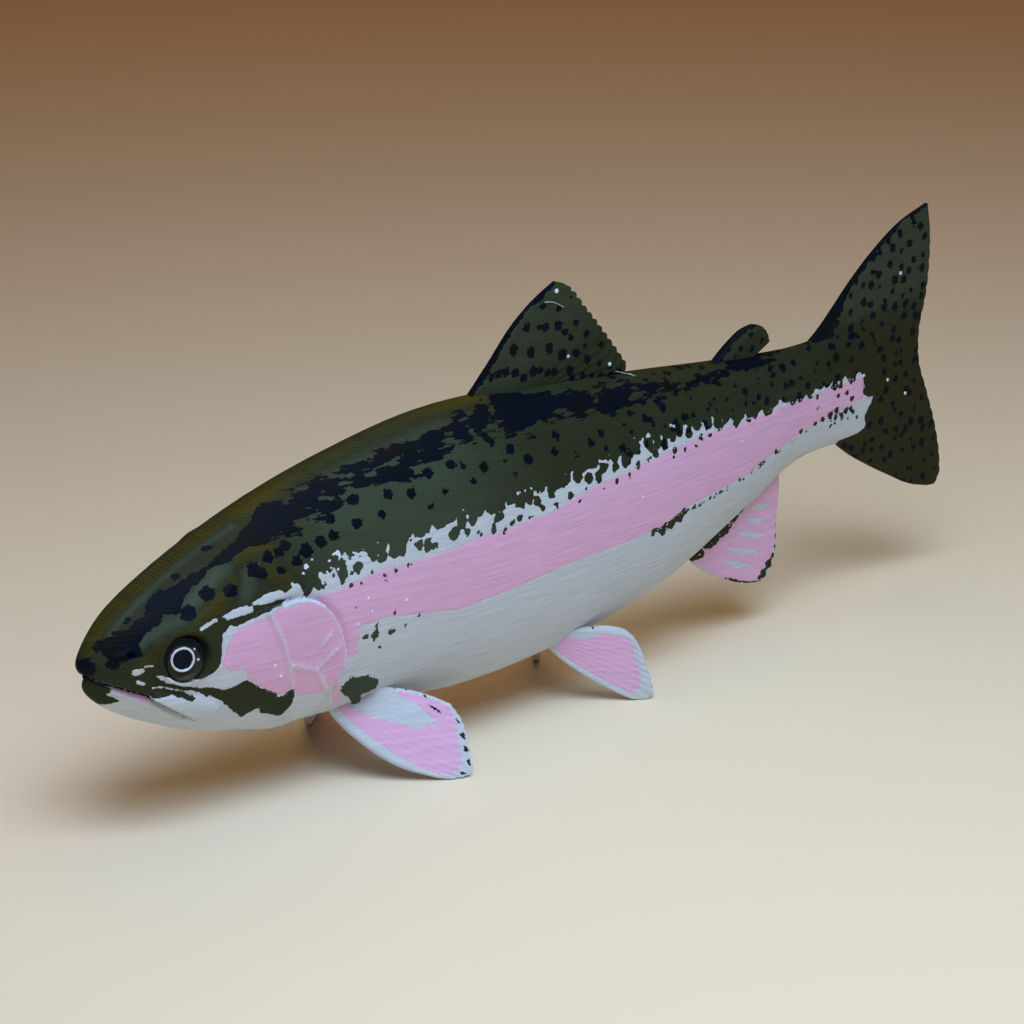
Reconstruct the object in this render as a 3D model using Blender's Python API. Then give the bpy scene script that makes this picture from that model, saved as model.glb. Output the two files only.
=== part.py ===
# A printed rainbow trout figurine that stands on the tips of its two pectoral and two pelvic fins.
#
# The fish is drawn in its own frame first: x runs from the snout to the tail, y to its right side,
# z up, all as parts of its length. An empty named stance then tips it nose down and lifts it
# so that the fin tips, cut flat, stand on z = 0 with the origin under the middle of the model.

import math

import bmesh
import bpy
from mathutils import Matrix, Vector

# ---- driving sizes, in metres and degrees ----
LENGTH = 0.1915           # one fish length; the snout to the longer tail lobe is 0.992 of it
NOSE_DOWN = 3.2           # the stance, nose towards the floor
FLOOR = 0.1495            # height of the snout's axis over the floor, in fish lengths
GAP = 0.0003 / LENGTH     # the thin cut between neighbours
SIDES = 32                # corners of a body section

# ---- the body: its back, belly and half width at a few stations ----
STATION = (0.0, 0.012, 0.04, 0.08, 0.13, 0.19, 0.27, 0.37, 0.49, 0.61, 0.73, 0.80, 0.86)
BACK = (-0.008, 0.0135, 0.035, 0.052, 0.0695, 0.0865, 0.101, 0.110, 0.099, 0.081, 0.063, 0.055, 0.056)
BELLY = (-0.008, -0.033, -0.055, -0.075, -0.093, -0.105, -0.1135, -0.130, -0.130, -0.114, -0.074,
         -0.050, -0.050)
HALF_WIDTH = (0.0, 0.0145, 0.0295, 0.0425, 0.051, 0.055, 0.0585, 0.059, 0.054, 0.0435, 0.0265, 0.0165,
              0.010)
WIDEST = 0.53             # height of the widest line between belly and back
BACK_POWER = 2.05         # superellipse powers of the upper and the lower half
BELLY_POWER = 2.2

# ---- where the body is parted ----
NAPE = 0.186              # head and trunk meet here above and below
GILL_REACH = 0.036        # how much further back the gill cover reaches
GILL_ANGLE = math.radians(110)   # angle of the reach, down from the back
GILL_SPREAD = math.radians(26)
CHEEK = 0.150             # front of the gill cover at its upper corner
CHEEK_LEAN = 0.026        # how far that edge leans back to its lower corner
COVER_TOP = math.radians(76)
COVER_BOTTOM = math.radians(140)
COVER_DEPTH = 0.0013 / LENGTH
COVER_BEVEL = 0.0055      # its rear wall slants forward with the gill opening
GIRTH = 0.055             # half width here, which turns an angle's margin into a length
STALK = 0.785             # trunk and tail stalk meet here, behind the anal fin
TAIL_ROOT = 0.834         # stalk and tail fin meet here, on a leaning plane
TAIL_LEAN = 0.014

# ---- the eye ----
EYE = Vector((0.0725, 0.0368, -0.006))
EYE_RADIUS = 0.0176
EYE_BULGE = 0.42          # thickness of the lens against its radius
EYE_GAZE = (18, 4)        # degrees ahead of sideways, and up

# ---- the four filament colours, linear ----
OLIVE = (0.085, 0.095, 0.040)
CREAM = (0.72, 0.71, 0.66)
ROSE = (0.76, 0.36, 0.50)
NAVY = (0.012, 0.018, 0.032)

# ---- the mouth line from ahead of the snout to its corner, and the foot of the jaw's rear edge ----
MOUTH = ((-0.02, -0.004), (0.002, -0.0115), (0.018, -0.0185), (0.043, -0.032), (0.080, -0.0595))
JAW_HINGE = (0.104, -0.105)


# ---------- curves and the body's surface ----------

def smooth(xs, ys, x):
    """The smooth curve through the points (xs, ys), read at x."""
    count = len(xs)
    slope = [(ys[i + 1] - ys[i]) / (xs[i + 1] - xs[i]) for i in range(count - 1)]
    i = max(j for j in range(count - 1) if xs[j] <= x or j == 0)

    def tangent(k):
        if k == 0:
            return 1.5 * slope[0] - 0.5 * tangent(1)
        if k == count - 1:
            return slope[-1]
        before, after = xs[k] - xs[k - 1], xs[k + 1] - xs[k]
        return (slope[k - 1] * after + slope[k] * before) / (before + after)

    step = xs[i + 1] - xs[i]
    t = (x - xs[i]) / step
    return (ys[i] * (1 + 2 * t) * (1 - t) ** 2 + step * tangent(i) * t * (1 - t) ** 2
            + ys[i + 1] * t * t * (3 - 2 * t) + step * tangent(i + 1) * t * t * (t - 1))


def along_body(values, s):
    """A body size at station s. The root spacing makes the snout round."""
    return smooth([math.sqrt(x) for x in STATION], values, math.sqrt(max(s, 0.0)))


def body_point(s, angle):
    """The point of the body's surface at station s, angle measured from the back towards the left."""
    top, bottom, half = (along_body(v, s) for v in (BACK, BELLY, HALF_WIDTH))
    middle = bottom + (top - bottom) * WIDEST
    c, d = math.cos(angle), math.sin(angle)
    power = 2 / (BACK_POWER if c > 0 else BELLY_POWER)
    reach = (top - middle) if c > 0 else (middle - bottom)
    return Vector((s, -half * math.copysign(abs(d) ** power, d),
                   middle + reach * math.copysign(abs(c) ** power, c)))


def grown_point(s, angle, out):
    """A body point moved out along the surface's own normal."""
    here = body_point(s, angle)
    if out == 0:
        return here
    ahead = body_point(s + 0.002, angle) - body_point(max(s - 0.002, 0.0005), angle)
    around = body_point(s, angle + 0.03) - body_point(s, angle - 0.03)
    return here + around.cross(ahead).normalized() * out


def gill_line(angle):
    """Station of the gill opening at an angle, the same on both sides."""
    turn = angle if angle <= math.pi else 2 * math.pi - angle
    return NAPE + GILL_REACH * math.exp(-((turn - GILL_ANGLE) / GILL_SPREAD) ** 2)


def tail_line(angle):
    return TAIL_ROOT - TAIL_LEAN * math.cos(angle)


def path(points, count):
    """A smooth line through flat points, read at equal steps of its length."""
    marks = [0.0]
    for a, b in zip(points, points[1:]):
        marks.append(marks[-1] + math.dist(a, b))
    reads = [marks[-1] * i / (count - 1) for i in range(count)]
    if len(points) == 2:
        return [Vector(points[0]).lerp(Vector(points[1]), r / marks[-1]) for r in reads]
    xs, ys = [p[0] for p in points], [p[1] for p in points]
    return [Vector((smooth(marks, xs, r), smooth(marks, ys, r))) for r in reads]


# ---------- objects ----------

def start():
    """An empty scene with one collection for the fish and one for its cutters."""
    for item in list(bpy.data.objects):
        bpy.data.objects.remove(item)
    made = []
    for name in ("trout_figurine", "cutters"):
        group = bpy.data.collections.new(name)
        bpy.context.scene.collection.children.link(group)
        made.append(group)
    return made


def material(name, colour, roughness=0.55):
    """One filament colour, as an object's own material."""
    made = bpy.data.materials.new(name)
    made.use_nodes = True
    shader = made.node_tree.nodes["Principled BSDF"]
    shader.inputs["Base Color"].default_value = (*colour, 1)
    shader.inputs["Roughness"].default_value = roughness
    shader.inputs["Metallic"].default_value = 0.0
    made.diffuse_color = (*colour, 1)
    return made


def finish(shape, name, colour):
    """A named part from a bmesh drawn in fish lengths, standing in the stance."""
    bmesh.ops.scale(shape, vec=(LENGTH,) * 3, verts=shape.verts)
    bmesh.ops.recalc_face_normals(shape, faces=shape.faces)
    mesh = bpy.data.meshes.new(name)
    shape.to_mesh(mesh)
    shape.free()
    made = bpy.data.objects.new(name, mesh)
    made.parent = stance
    fish.objects.link(made)
    mesh.materials.append(material(name + "_pla", colour))
    mesh.shade_smooth()
    mesh.set_sharp_from_angle(angle=math.radians(40))
    return made


def as_cutter(tool):
    """Moves an object to the cutters and hides it from the model."""
    fish.objects.unlink(tool)
    cutters.objects.link(tool)
    tool.hide_render = True
    tool.display_type = "WIRE"
    return tool


def cut(target, tool, operation="DIFFERENCE"):
    """Adds an exact Boolean cut."""
    step = target.modifiers.new(tool.name, "BOOLEAN")
    step.operation = operation
    step.object = tool
    step.solver = "EXACT"


def skin_over(shape, rows, closed):
    """Joins rows of equal length with quads."""
    grid = [[shape.verts.new(p) for p in row] for row in rows]
    count = len(rows[0])
    for here, there in zip(grid, grid[1:]):
        for j in range(count if closed else count - 1):
            k = (j + 1) % count
            shape.faces.new((here[j], here[k], there[k], there[j]))
    return grid


def fan(shape, ring, centre):
    """Closes a ring with a fan round one point."""
    middle = shape.verts.new(centre)
    for j, corner in enumerate(ring):
        shape.faces.new((corner, ring[(j + 1) % len(ring)], middle))


# ---------- the body's lengths ----------

def body_length(name, start_line, end_line, rings, colour, out=0.0, nose=False):
    """A length of the body between two lines round it."""
    angles = [2 * math.pi * j / SIDES for j in range(SIDES)]
    rows = []
    for i in range(1 if nose else 0, rings + 1):
        t = i / rings
        share = t ** 1.7 if nose else t
        rows.append([grown_point(start_line(a) + (end_line(a) - start_line(a)) * share, a, out)
                     for a in angles])
    shape = bmesh.new()
    grid = skin_over(shape, rows, closed=True)
    fan(shape, grid[0], body_point(0.0, 0.0) - Vector((out, 0, 0)) if nose else centre_of(rows[0]))
    fan(shape, grid[-1], centre_of(rows[-1]))
    return finish(shape, name, colour)


def centre_of(row):
    """The middle of a ring, at the station of its top and bottom."""
    low, high = row[len(row) // 2], row[0]
    return (low + high) / 2


def cover_patch(name, side, out, depth, margin, lean):
    """A curved plate of the body's wall behind the cheek, on one side."""
    steps_down, steps_back = 10, 7
    outer, inner = [], []
    for i in range(steps_down + 1):
        t = i / steps_down
        angle = COVER_TOP - margin + (COVER_BOTTOM - COVER_TOP + 2 * margin) * t
        front = CHEEK - margin * GIRTH + CHEEK_LEAN * t * t
        back = gill_line(angle) + margin * GIRTH
        turn = angle if side > 0 else 2 * math.pi - angle
        shares = [j / steps_back for j in range(steps_back + 1)]
        outer.append([grown_point(front + (back - front) * t, turn, out) for t in shares])
        inner.append([grown_point(front + (back - lean - front) * t, turn, -depth) for t in shares])
    return closed_sheet(name, outer, inner, ROSE)


def closed_sheet(name, outer, inner, colour):
    """A solid between two like grids, walled all round."""
    shape = bmesh.new()
    a = skin_over(shape, outer, closed=False)
    b = skin_over(shape, inner, closed=False)
    edge_a = a[0] + [row[-1] for row in a[1:]] + a[-1][-2::-1] + [row[0] for row in a[-2:0:-1]]
    edge_b = b[0] + [row[-1] for row in b[1:]] + b[-1][-2::-1] + [row[0] for row in b[-2:0:-1]]
    for j in range(len(edge_a)):
        k = (j + 1) % len(edge_a)
        shape.faces.new((edge_a[j], edge_b[j], edge_b[k], edge_a[k]))
    return finish(shape, name, colour)


def jaw_cutter(name, lift):
    """The space of the lower jaw: all below the mouth line and ahead of the jaw hinge."""
    line = [(x - lift * 0.3, z + lift) for x, z in MOUTH]
    corner = (JAW_HINGE[0] + lift, JAW_HINGE[1])
    outline = line + [corner, (corner[0], -0.15), (-0.02, -0.15)]
    shape = bmesh.new()
    sides = [[shape.verts.new((x, y, z)) for x, z in outline] for y in (-0.08, 0.08)]
    for row in sides:
        shape.faces.new(row)
    for j in range(len(outline)):
        k = (j + 1) % len(outline)
        shape.faces.new((sides[0][j], sides[0][k], sides[1][k], sides[1][j]))
    return as_cutter(finish(shape, name, CREAM))


def eye(name, side, grow=0.0):
    """A lens-shaped eye, turned to its gaze, or its socket when grown."""
    shape = bmesh.new()
    bmesh.ops.create_uvsphere(shape, u_segments=20, v_segments=10, radius=EYE_RADIUS + grow)
    ahead, up = (math.radians(a) for a in EYE_GAZE)
    flat = Matrix.Diagonal((1, 1, (EYE_RADIUS * EYE_BULGE + grow) / (EYE_RADIUS + grow), 1))
    gaze = Vector((-math.sin(ahead), -side * math.cos(ahead), math.sin(up)))
    turn = gaze.to_track_quat("Z", "Y").to_matrix().to_4x4()
    place = Matrix.Translation((EYE.x, -side * EYE.y, EYE.z))
    bmesh.ops.transform(shape, matrix=place @ turn @ flat, verts=shape.verts)
    return finish(shape, name, NAVY)


def head_parts():
    """The head with its sockets, its lower jaw, the gill covers and the eyes."""
    def snout(angle):
        return 0.0
    head = body_length("head", snout, gill_line, 14, OLIVE, nose=True)
    jaw = body_length("lower_jaw", snout, gill_line, 14, CREAM, nose=True)
    cut(jaw, jaw_cutter("jaw_space", 0.0), "INTERSECT")
    cut(head, jaw_cutter("jaw_room", GAP))
    for label, side in (("left", 1), ("right", -1)):
        cover_patch("gill_cover_" + label, side, 0.0, COVER_DEPTH, 0.0, COVER_BEVEL)
        room = cover_patch("cover_room_" + label, side, 0.01, COVER_DEPTH + GAP, GAP / GIRTH, 0.0)
        cut(head, as_cutter(room))
        eye("eye_" + label, side)
        cut(head, as_cutter(eye("socket_" + label, side, GAP)))


def trunk_and_stalk():
    """The trunk behind the gill openings and the stalk that carries the tail fin."""
    def behind_gills(angle):
        return gill_line(angle) + GAP

    def trunk_end(angle):
        return STALK

    def stalk_start(angle):
        return STALK + GAP
    body_length("trunk", behind_gills, trunk_end, 20, OLIVE)
    body_length("tail_stalk", stalk_start, tail_line, 4, OLIVE)


# ---------- fins ----------

def coons(root, rim, lead, rear):
    """Fills the space between four edges: rows run root to rim, columns from lead to rear."""
    rays, steps = len(root) - 1, len(lead) - 1
    rows = []
    for i in range(rays + 1):
        v = i / rays
        row = []
        for j in range(steps + 1):
            r = j / steps
            corners = ((1 - v) * (1 - r) * root[0] + v * (1 - r) * root[-1]
                       + (1 - v) * r * rim[0] + v * r * rim[-1])
            row.append((1 - r) * root[i] + r * rim[i] + (1 - v) * lead[j] + v * rear[j] - corners)
        rows.append(row)
    return rows


def blade(name, edges, frame, thickness, colour, rays=12, steps=6):
    """A fin: a flat sheet between its edges, thick at the root and thin at the rim."""
    root, rim = path(edges["root"], rays + 1), path(edges["rim"], rays + 1)
    lead, rear = path(edges["lead"], steps + 1), path(edges["rear"], steps + 1)
    flat = coons(root, rim, lead, rear)
    origin, along, across = frame
    normal = along.cross(across)
    sides = []
    for side in (1, -1):
        grid = []
        for i, row in enumerate(flat):
            line = []
            for j, p in enumerate(row):
                half = thickness(i / rays, j / steps) / 2
                line.append(origin + along * p.x + across * p.y + normal * half * side)
            grid.append(line)
        sides.append(grid)
    return closed_sheet(name, sides[0], sides[1], colour)


def taper(root, rim):
    """A thickness in metres that falls evenly from root to rim."""
    def at(v, r):
        return (root + (rim - root) * r) / LENGTH
    return at


def upright():
    """The frame of a fin in the fish's middle plane."""
    return Vector(), Vector((1, 0, 0)), Vector((0, 0, 1))


def on_profile(values, front, back, lift):
    """Points of the back or the belly between two stations."""
    stations = [front + (back - front) * i / 4 for i in range(5)]
    return [(s, along_body(values, s) + lift) for s in stations]


def middle_fins():
    """The dorsal, adipose, anal and tail fins."""
    root = on_profile(BACK, 0.409, 0.530, GAP)
    blade("dorsal_fin", {
        "root": root,
        "lead": (root[0], (0.437, 0.132), (0.464, 0.158), (0.490, 0.174), (0.514, 0.183)),
        "rim": ((0.514, 0.183), (0.525, 0.178), (0.549, 0.151), (0.573, 0.120), (0.5915, 0.094)),
        "rear": (root[-1], (0.552, 0.0915), (0.573, 0.0895), (0.5915, 0.094)),
    }, upright(), taper(0.0015, 0.0010), OLIVE, rays=14)

    root = on_profile(BACK, 0.697, 0.742, GAP)
    blade("adipose_fin", {
        "root": root,
        "lead": (root[0], (0.718, 0.079), (0.733, 0.086), (0.748, 0.088)),
        "rim": ((0.748, 0.088), (0.757, 0.085), (0.765, 0.077), (0.768, 0.068)),
        "rear": (root[-1], (0.755, 0.0625), (0.768, 0.068)),
    }, upright(), taper(0.0017, 0.0012), OLIVE, rays=8, steps=4)

    root = on_profile(BELLY, 0.655, 0.776, -GAP)
    blade("anal_fin", {
        "root": root,
        "lead": (root[0], (0.680, -0.121), (0.708, -0.138), (0.730, -0.1475), (0.750, -0.152)),
        "rim": ((0.750, -0.152), (0.761, -0.146), (0.769, -0.130), (0.772, -0.100), (0.775, -0.078)),
        "rear": (root[-1], (0.776, -0.068), (0.775, -0.078)),
    }, upright(), taper(0.0015, 0.0010), ROSE)

    upper = Vector((TAIL_ROOT - TAIL_LEAN + GAP, along_body(BACK, TAIL_ROOT - TAIL_LEAN)))
    lower = Vector((TAIL_ROOT + TAIL_LEAN + GAP, along_body(BELLY, TAIL_ROOT + TAIL_LEAN)))
    stalk_half = along_body(HALF_WIDTH, TAIL_ROOT)

    def tail_thickness(v, r):
        """The stalk's own width at the root, falling to a thin web past the fleshy base."""
        base = 2 * stalk_half * max(1 - abs(2 * v - 1) ** BACK_POWER, 0.0) ** (1 / BACK_POWER)
        web = (0.0017 - 0.0007 * r) / LENGTH
        fade = min(r / 0.42, 1.0)
        fade = fade * fade * (3 - 2 * fade)
        return max(base * (1 - fade) + web * fade, web)

    blade("tail_fin", {
        "root": (upper, lower),
        "lead": (upper, (0.852, 0.080), (0.882, 0.103), (0.911, 0.123), (0.945, 0.140), (0.978, 0.1465)),
        "rim": ((0.978, 0.1465), (0.981, 0.117), (0.976, 0.066), (0.965, 0.028), (0.965, 0.001),
                (0.975, -0.030), (0.987, -0.068), (0.9925, -0.102), (0.992, -0.115),
                (0.985, -0.1235), (0.974, -0.1225)),
        "rear": (lower, (0.871, -0.065), (0.893, -0.080), (0.923, -0.0985), (0.952, -0.115),
                 (0.974, -0.1225)),
    }, upright(), tail_thickness, OLIVE, rays=20, steps=9)


RIGHT_SPREAD = math.radians(10)   # the right fins stand this much wider than the left ones

PECTORAL = {
    "middle": (0.2494, -0.0233, -0.0975),
    "right_shift": (0.016, 0, -0.0006),   # and this much further back and lower
    "along": (0.453, -0.605, -0.655),
    "across": (-0.801, 0.047, -0.597),
    "root": ((-0.020, 0.014), (-0.002, -0.008)),
    "lead": ((-0.020, 0.014), (0.000, 0.0215), (0.030, 0.024), (0.066, 0.0195), (0.096, 0.007)),
    "rim": ((0.096, 0.007), (0.108, -0.002), (0.115, -0.013), (0.109, -0.023), (0.098, -0.0315),
            (0.084, -0.042), (0.068, -0.047)),
    "rear": ((-0.002, -0.008), (0.022, -0.027), (0.045, -0.0395), (0.068, -0.047)),
}
PELVIC = {
    "middle": (0.4871, -0.0238, -0.1207),
    "right_shift": (0.008, 0, -0.0002),
    "along": (0.567, -0.442, -0.694),
    "across": (-0.588, 0.373, -0.718),
    "root": ((-0.016, 0.013), (-0.010, -0.006)),
    "lead": ((-0.016, 0.013), (0.010, 0.015), (0.040, 0.0125), (0.064, 0.008), (0.081, 0.0035)),
    "rim": ((0.081, 0.0035), (0.090, -0.003), (0.0915, -0.011), (0.083, -0.019), (0.070, -0.027),
            (0.057, -0.0345), (0.045, -0.039)),
    "rear": ((-0.010, -0.006), (0.006, -0.018), (0.022, -0.032), (0.033, -0.038), (0.045, -0.039)),
}


def side_frame(side, spec):
    """The frame of a paired fin: its root's middle, its long direction, and across it."""
    flip = Vector((1, side, 1))
    middle, along, across = (Vector(spec[k]) * flip for k in ("middle", "along", "across"))
    if side < 0:
        middle += Vector(spec["right_shift"])
        spread = Matrix.Rotation(RIGHT_SPREAD, 3, "Z")
        along, across = spread @ along, spread @ across
    along.normalize()
    across = (across - along * across.dot(along)).normalized()
    return middle, along, across


def ground_block():
    """The space below the floor, which cuts the fin tips flat."""
    shape = bmesh.new()
    size = Matrix.Diagonal((0.5, 0.2, 0.1, 1))
    bmesh.ops.create_cube(shape, size=1, matrix=Matrix.Translation((0, 0, -0.05)) @ size)
    mesh = bpy.data.meshes.new("ground")
    shape.to_mesh(mesh)
    shape.free()
    block = bpy.data.objects.new("ground", mesh)
    fish.objects.link(block)
    return as_cutter(block)


def paired_fins():
    """The pectoral and pelvic fins, cut clear of the body and flat on the floor."""
    def snout(angle):
        return 0.0

    def tail_end(angle):
        return STATION[-1]
    room = as_cutter(body_length("body_room", snout, tail_end, 30, OLIVE, out=GAP, nose=True))
    ground = ground_block()
    for label, side in (("left", 1), ("right", -1)):
        for kind, spec in (("pectoral_fin_", PECTORAL), ("pelvic_fin_", PELVIC)):
            fin = blade(kind + label, spec, side_frame(side, spec), taper(0.0020, 0.0012), CREAM)
            cut(fin, room)
            cut(fin, ground)


def centre_over_origin():
    """Slides the stance so that the middle of the whole fish is over the origin."""
    bpy.context.view_layer.update()
    seen = bpy.context.evaluated_depsgraph_get()
    reach = []
    for item in fish.objects:
        if item.type != "MESH":
            continue
        whole = item.evaluated_get(seen)
        shape = whole.to_mesh()
        reach.extend((whole.matrix_world @ corner.co).x for corner in shape.vertices)
        whole.to_mesh_clear()
    stance.location.x -= (min(reach) + max(reach)) / 2


fish, cutters = start()
stance = bpy.data.objects.new("stance", None)
stance.rotation_euler = (0, -math.radians(NOSE_DOWN), 0)
stance.location = (0, 0, FLOOR * LENGTH)
fish.objects.link(stance)

head_parts()
trunk_and_stalk()
middle_fins()
paired_fins()
centre_over_origin()
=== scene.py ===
import math

import bpy
import numpy as np
from mathutils import Matrix, Vector


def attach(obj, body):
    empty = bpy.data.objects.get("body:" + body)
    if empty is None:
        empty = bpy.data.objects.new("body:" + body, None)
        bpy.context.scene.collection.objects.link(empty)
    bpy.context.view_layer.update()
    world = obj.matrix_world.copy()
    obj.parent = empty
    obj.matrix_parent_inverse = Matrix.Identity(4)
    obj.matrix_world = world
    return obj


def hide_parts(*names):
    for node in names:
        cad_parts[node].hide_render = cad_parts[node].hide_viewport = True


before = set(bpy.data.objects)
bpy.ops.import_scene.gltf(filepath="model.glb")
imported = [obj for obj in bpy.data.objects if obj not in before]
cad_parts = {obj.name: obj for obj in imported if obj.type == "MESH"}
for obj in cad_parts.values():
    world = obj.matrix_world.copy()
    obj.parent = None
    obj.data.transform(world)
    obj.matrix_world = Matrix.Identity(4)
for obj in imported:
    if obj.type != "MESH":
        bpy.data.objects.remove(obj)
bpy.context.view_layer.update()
print("frame loaded")

# A printed trout figure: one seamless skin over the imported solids, two eyes, and the small
# blobs and hairs that a printer leaves. Shapes and marks are worked out in the fish's own frame,
# x from the snout to the tail, y to its right side, z up, and then tipped into its stance.

fish = {
    "length": 191.5,          # mm, and every outline below is in thousandths of it
    "noseDown": 3.2,          # degrees
    "snoutX": -95.543,        # mm, where the snout's axis starts
    "axisHeight": 28.629,     # mm over the floor
}


def inMm(thousandths):
    return np.asarray(thousandths, float) * fish["length"] / 1000


def toFloorFrame(points):
    # mm in the fish's frame to metres in the model's
    turn = math.radians(fish["noseDown"])
    x, y, z = points[..., 0], points[..., 1], points[..., 2]
    return np.stack((x * math.cos(turn) - z * math.sin(turn) + fish["snoutX"], y,
                     x * math.sin(turn) + z * math.cos(turn) + fish["axisHeight"]), -1) / 1000


# curves and distances, shared by the shapes and the marks; a depth is in mm, negative outside

farAway = 9.0                 # mm, past any wandering edge


def smooth(xs, ys, x):
    # the smooth curve through the points, read at x
    xs, ys = np.asarray(xs, float), np.asarray(ys, float)
    gap = np.diff(xs)
    slope = np.diff(ys) / gap
    tangent = np.empty(len(xs))
    tangent[1:-1] = (slope[:-1] * gap[1:] + slope[1:] * gap[:-1]) / (gap[:-1] + gap[1:])
    tangent[0] = 1.5 * slope[0] - 0.5 * tangent[1]
    tangent[-1] = slope[-1]
    i = np.clip(np.searchsorted(xs, x, side="right") - 1, 0, len(xs) - 2)
    step = gap[i]
    t = (x - xs[i]) / step
    return (ys[i] * (1 + 2 * t) * (1 - t) ** 2 + step * tangent[i] * t * (1 - t) ** 2
            + ys[i + 1] * t * t * (3 - 2 * t) + step * tangent[i + 1] * t * t * (t - 1))


def ramp(value, low, high):
    # 0 below low, 1 above high, soft between
    t = np.clip((value - low) / (high - low), 0, 1)
    return t * t * (3 - 2 * t)


def ridge(distance, height, width):
    return height * np.exp(-(distance / width) ** 2)


def lineHeight(line, x):
    # a line's height over x, in mm
    line = inMm(line)
    return np.interp(x, line[:, 0], line[:, 1])


def toLine(x, z, points):
    # distance to a chain of straight runs
    points = inMm(points)
    nearest = np.full(x.shape, np.inf)
    for a, b in zip(points, points[1:]):
        run = b - a
        t = np.clip(((x - a[0]) * run[0] + (z - a[1]) * run[1]) / (run @ run), 0, 1)
        nearest = np.minimum(nearest, np.hypot(x - a[0] - t * run[0], z - a[1] - t * run[1]))
    return nearest


def inOutline(x, z, outline):
    # depth inside a closed outline
    ring = list(outline) + [outline[0]]
    nearest = toLine(x, z, ring)
    ring = inMm(ring)
    inside = np.zeros(x.shape, bool)
    for a, b in zip(ring, ring[1:]):
        crosses = (a[1] > z) != (b[1] > z)
        rise = b[1] - a[1] if b[1] != a[1] else 1.0
        inside ^= crosses & (x < a[0] + (z - a[1]) * (b[0] - a[0]) / rise)
    return np.where(inside, nearest, -nearest)


def inSpots(across, up, places):
    # depth inside the nearest of some flat spots, each with its place and its radius in mm
    depth = np.full(across.shape, -farAway)
    for a, b, radius in places:
        depth = np.maximum(depth, radius - np.hypot(across - inMm(a), up - inMm(b)))
    return depth


# the body: rows from the snout to the tail, columns from the back round the left side

body = {
    "station": (0, 12, 40, 80, 130, 190, 270, 370, 490, 610, 730, 800, 860, 885, 905, 922),
    "back": (-8, 13.5, 35, 52, 69.5, 86.5, 101, 110, 99, 81, 63, 55, 56, 57, 54, 40),
    "belly": (-8, -33, -55, -75, -93, -105, -113.5, -130, -130, -114, -74, -50, -50, -52, -50, -38),
    "halfWidth": (0, 14.5, 29.5, 42.5, 51, 55, 58.5, 59, 54, 43.5, 26.5, 16.5, 10, 6.8, 3.6, 0.4),
    "widest": 0.53,           # height of the widest line between belly and back
    "backPower": 2.05,        # superellipse powers of the two halves
    "bellyPower": 2.2,
    "rows": 350, "columns": 152,
    "headRows": 160,          # rows as far as the gills, where the detail is finest
    "headEnd": 232,
    "snoutShare": 1.12,       # above 1 it crowds the head's rows towards the snout
    "flankShare": 0.5,        # crowds the columns towards the flanks
}


def alongBody(name, s):
    return smooth(np.sqrt(body["station"]), body[name], np.sqrt(np.maximum(s, 0)))


def bodyPoint(s, angle):
    # s in thousandths, angle from the back towards the left; mm
    top, bottom, half = (alongBody(name, s) for name in ("back", "belly", "halfWidth"))
    middle = bottom + (top - bottom) * body["widest"]
    c, d = np.cos(angle), np.sin(angle)
    power = np.where(c > 0, 2 / body["backPower"], 2 / body["bellyPower"])
    reach = np.where(c > 0, top - middle, middle - bottom)
    return inMm(np.stack((s + 0 * angle, -half * np.sign(d) * np.abs(d) ** power,
                          middle + reach * np.sign(c) * np.abs(c) ** power), -1))


def halfSection(s):
    # the left half of the body's section, from the back to the belly
    return bodyPoint(np.full(200, float(s)), np.linspace(0, math.pi, 200))


def onSide(s, arc):
    # the left side's point at a length round the skin from the middle of the back
    line = halfSection(s)
    walked = np.append(0, np.cumsum(np.linalg.norm(np.diff(line, axis=0), axis=1)))
    return np.array([np.interp(inMm(arc), walked, line[:, k]) for k in range(3)])


def onFlank(s, z):
    # the left side's point at a height
    line = halfSection(s)[::-1]
    return np.array([np.interp(inMm(z), line[:, 2], line[:, k]) for k in range(3)])


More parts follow.
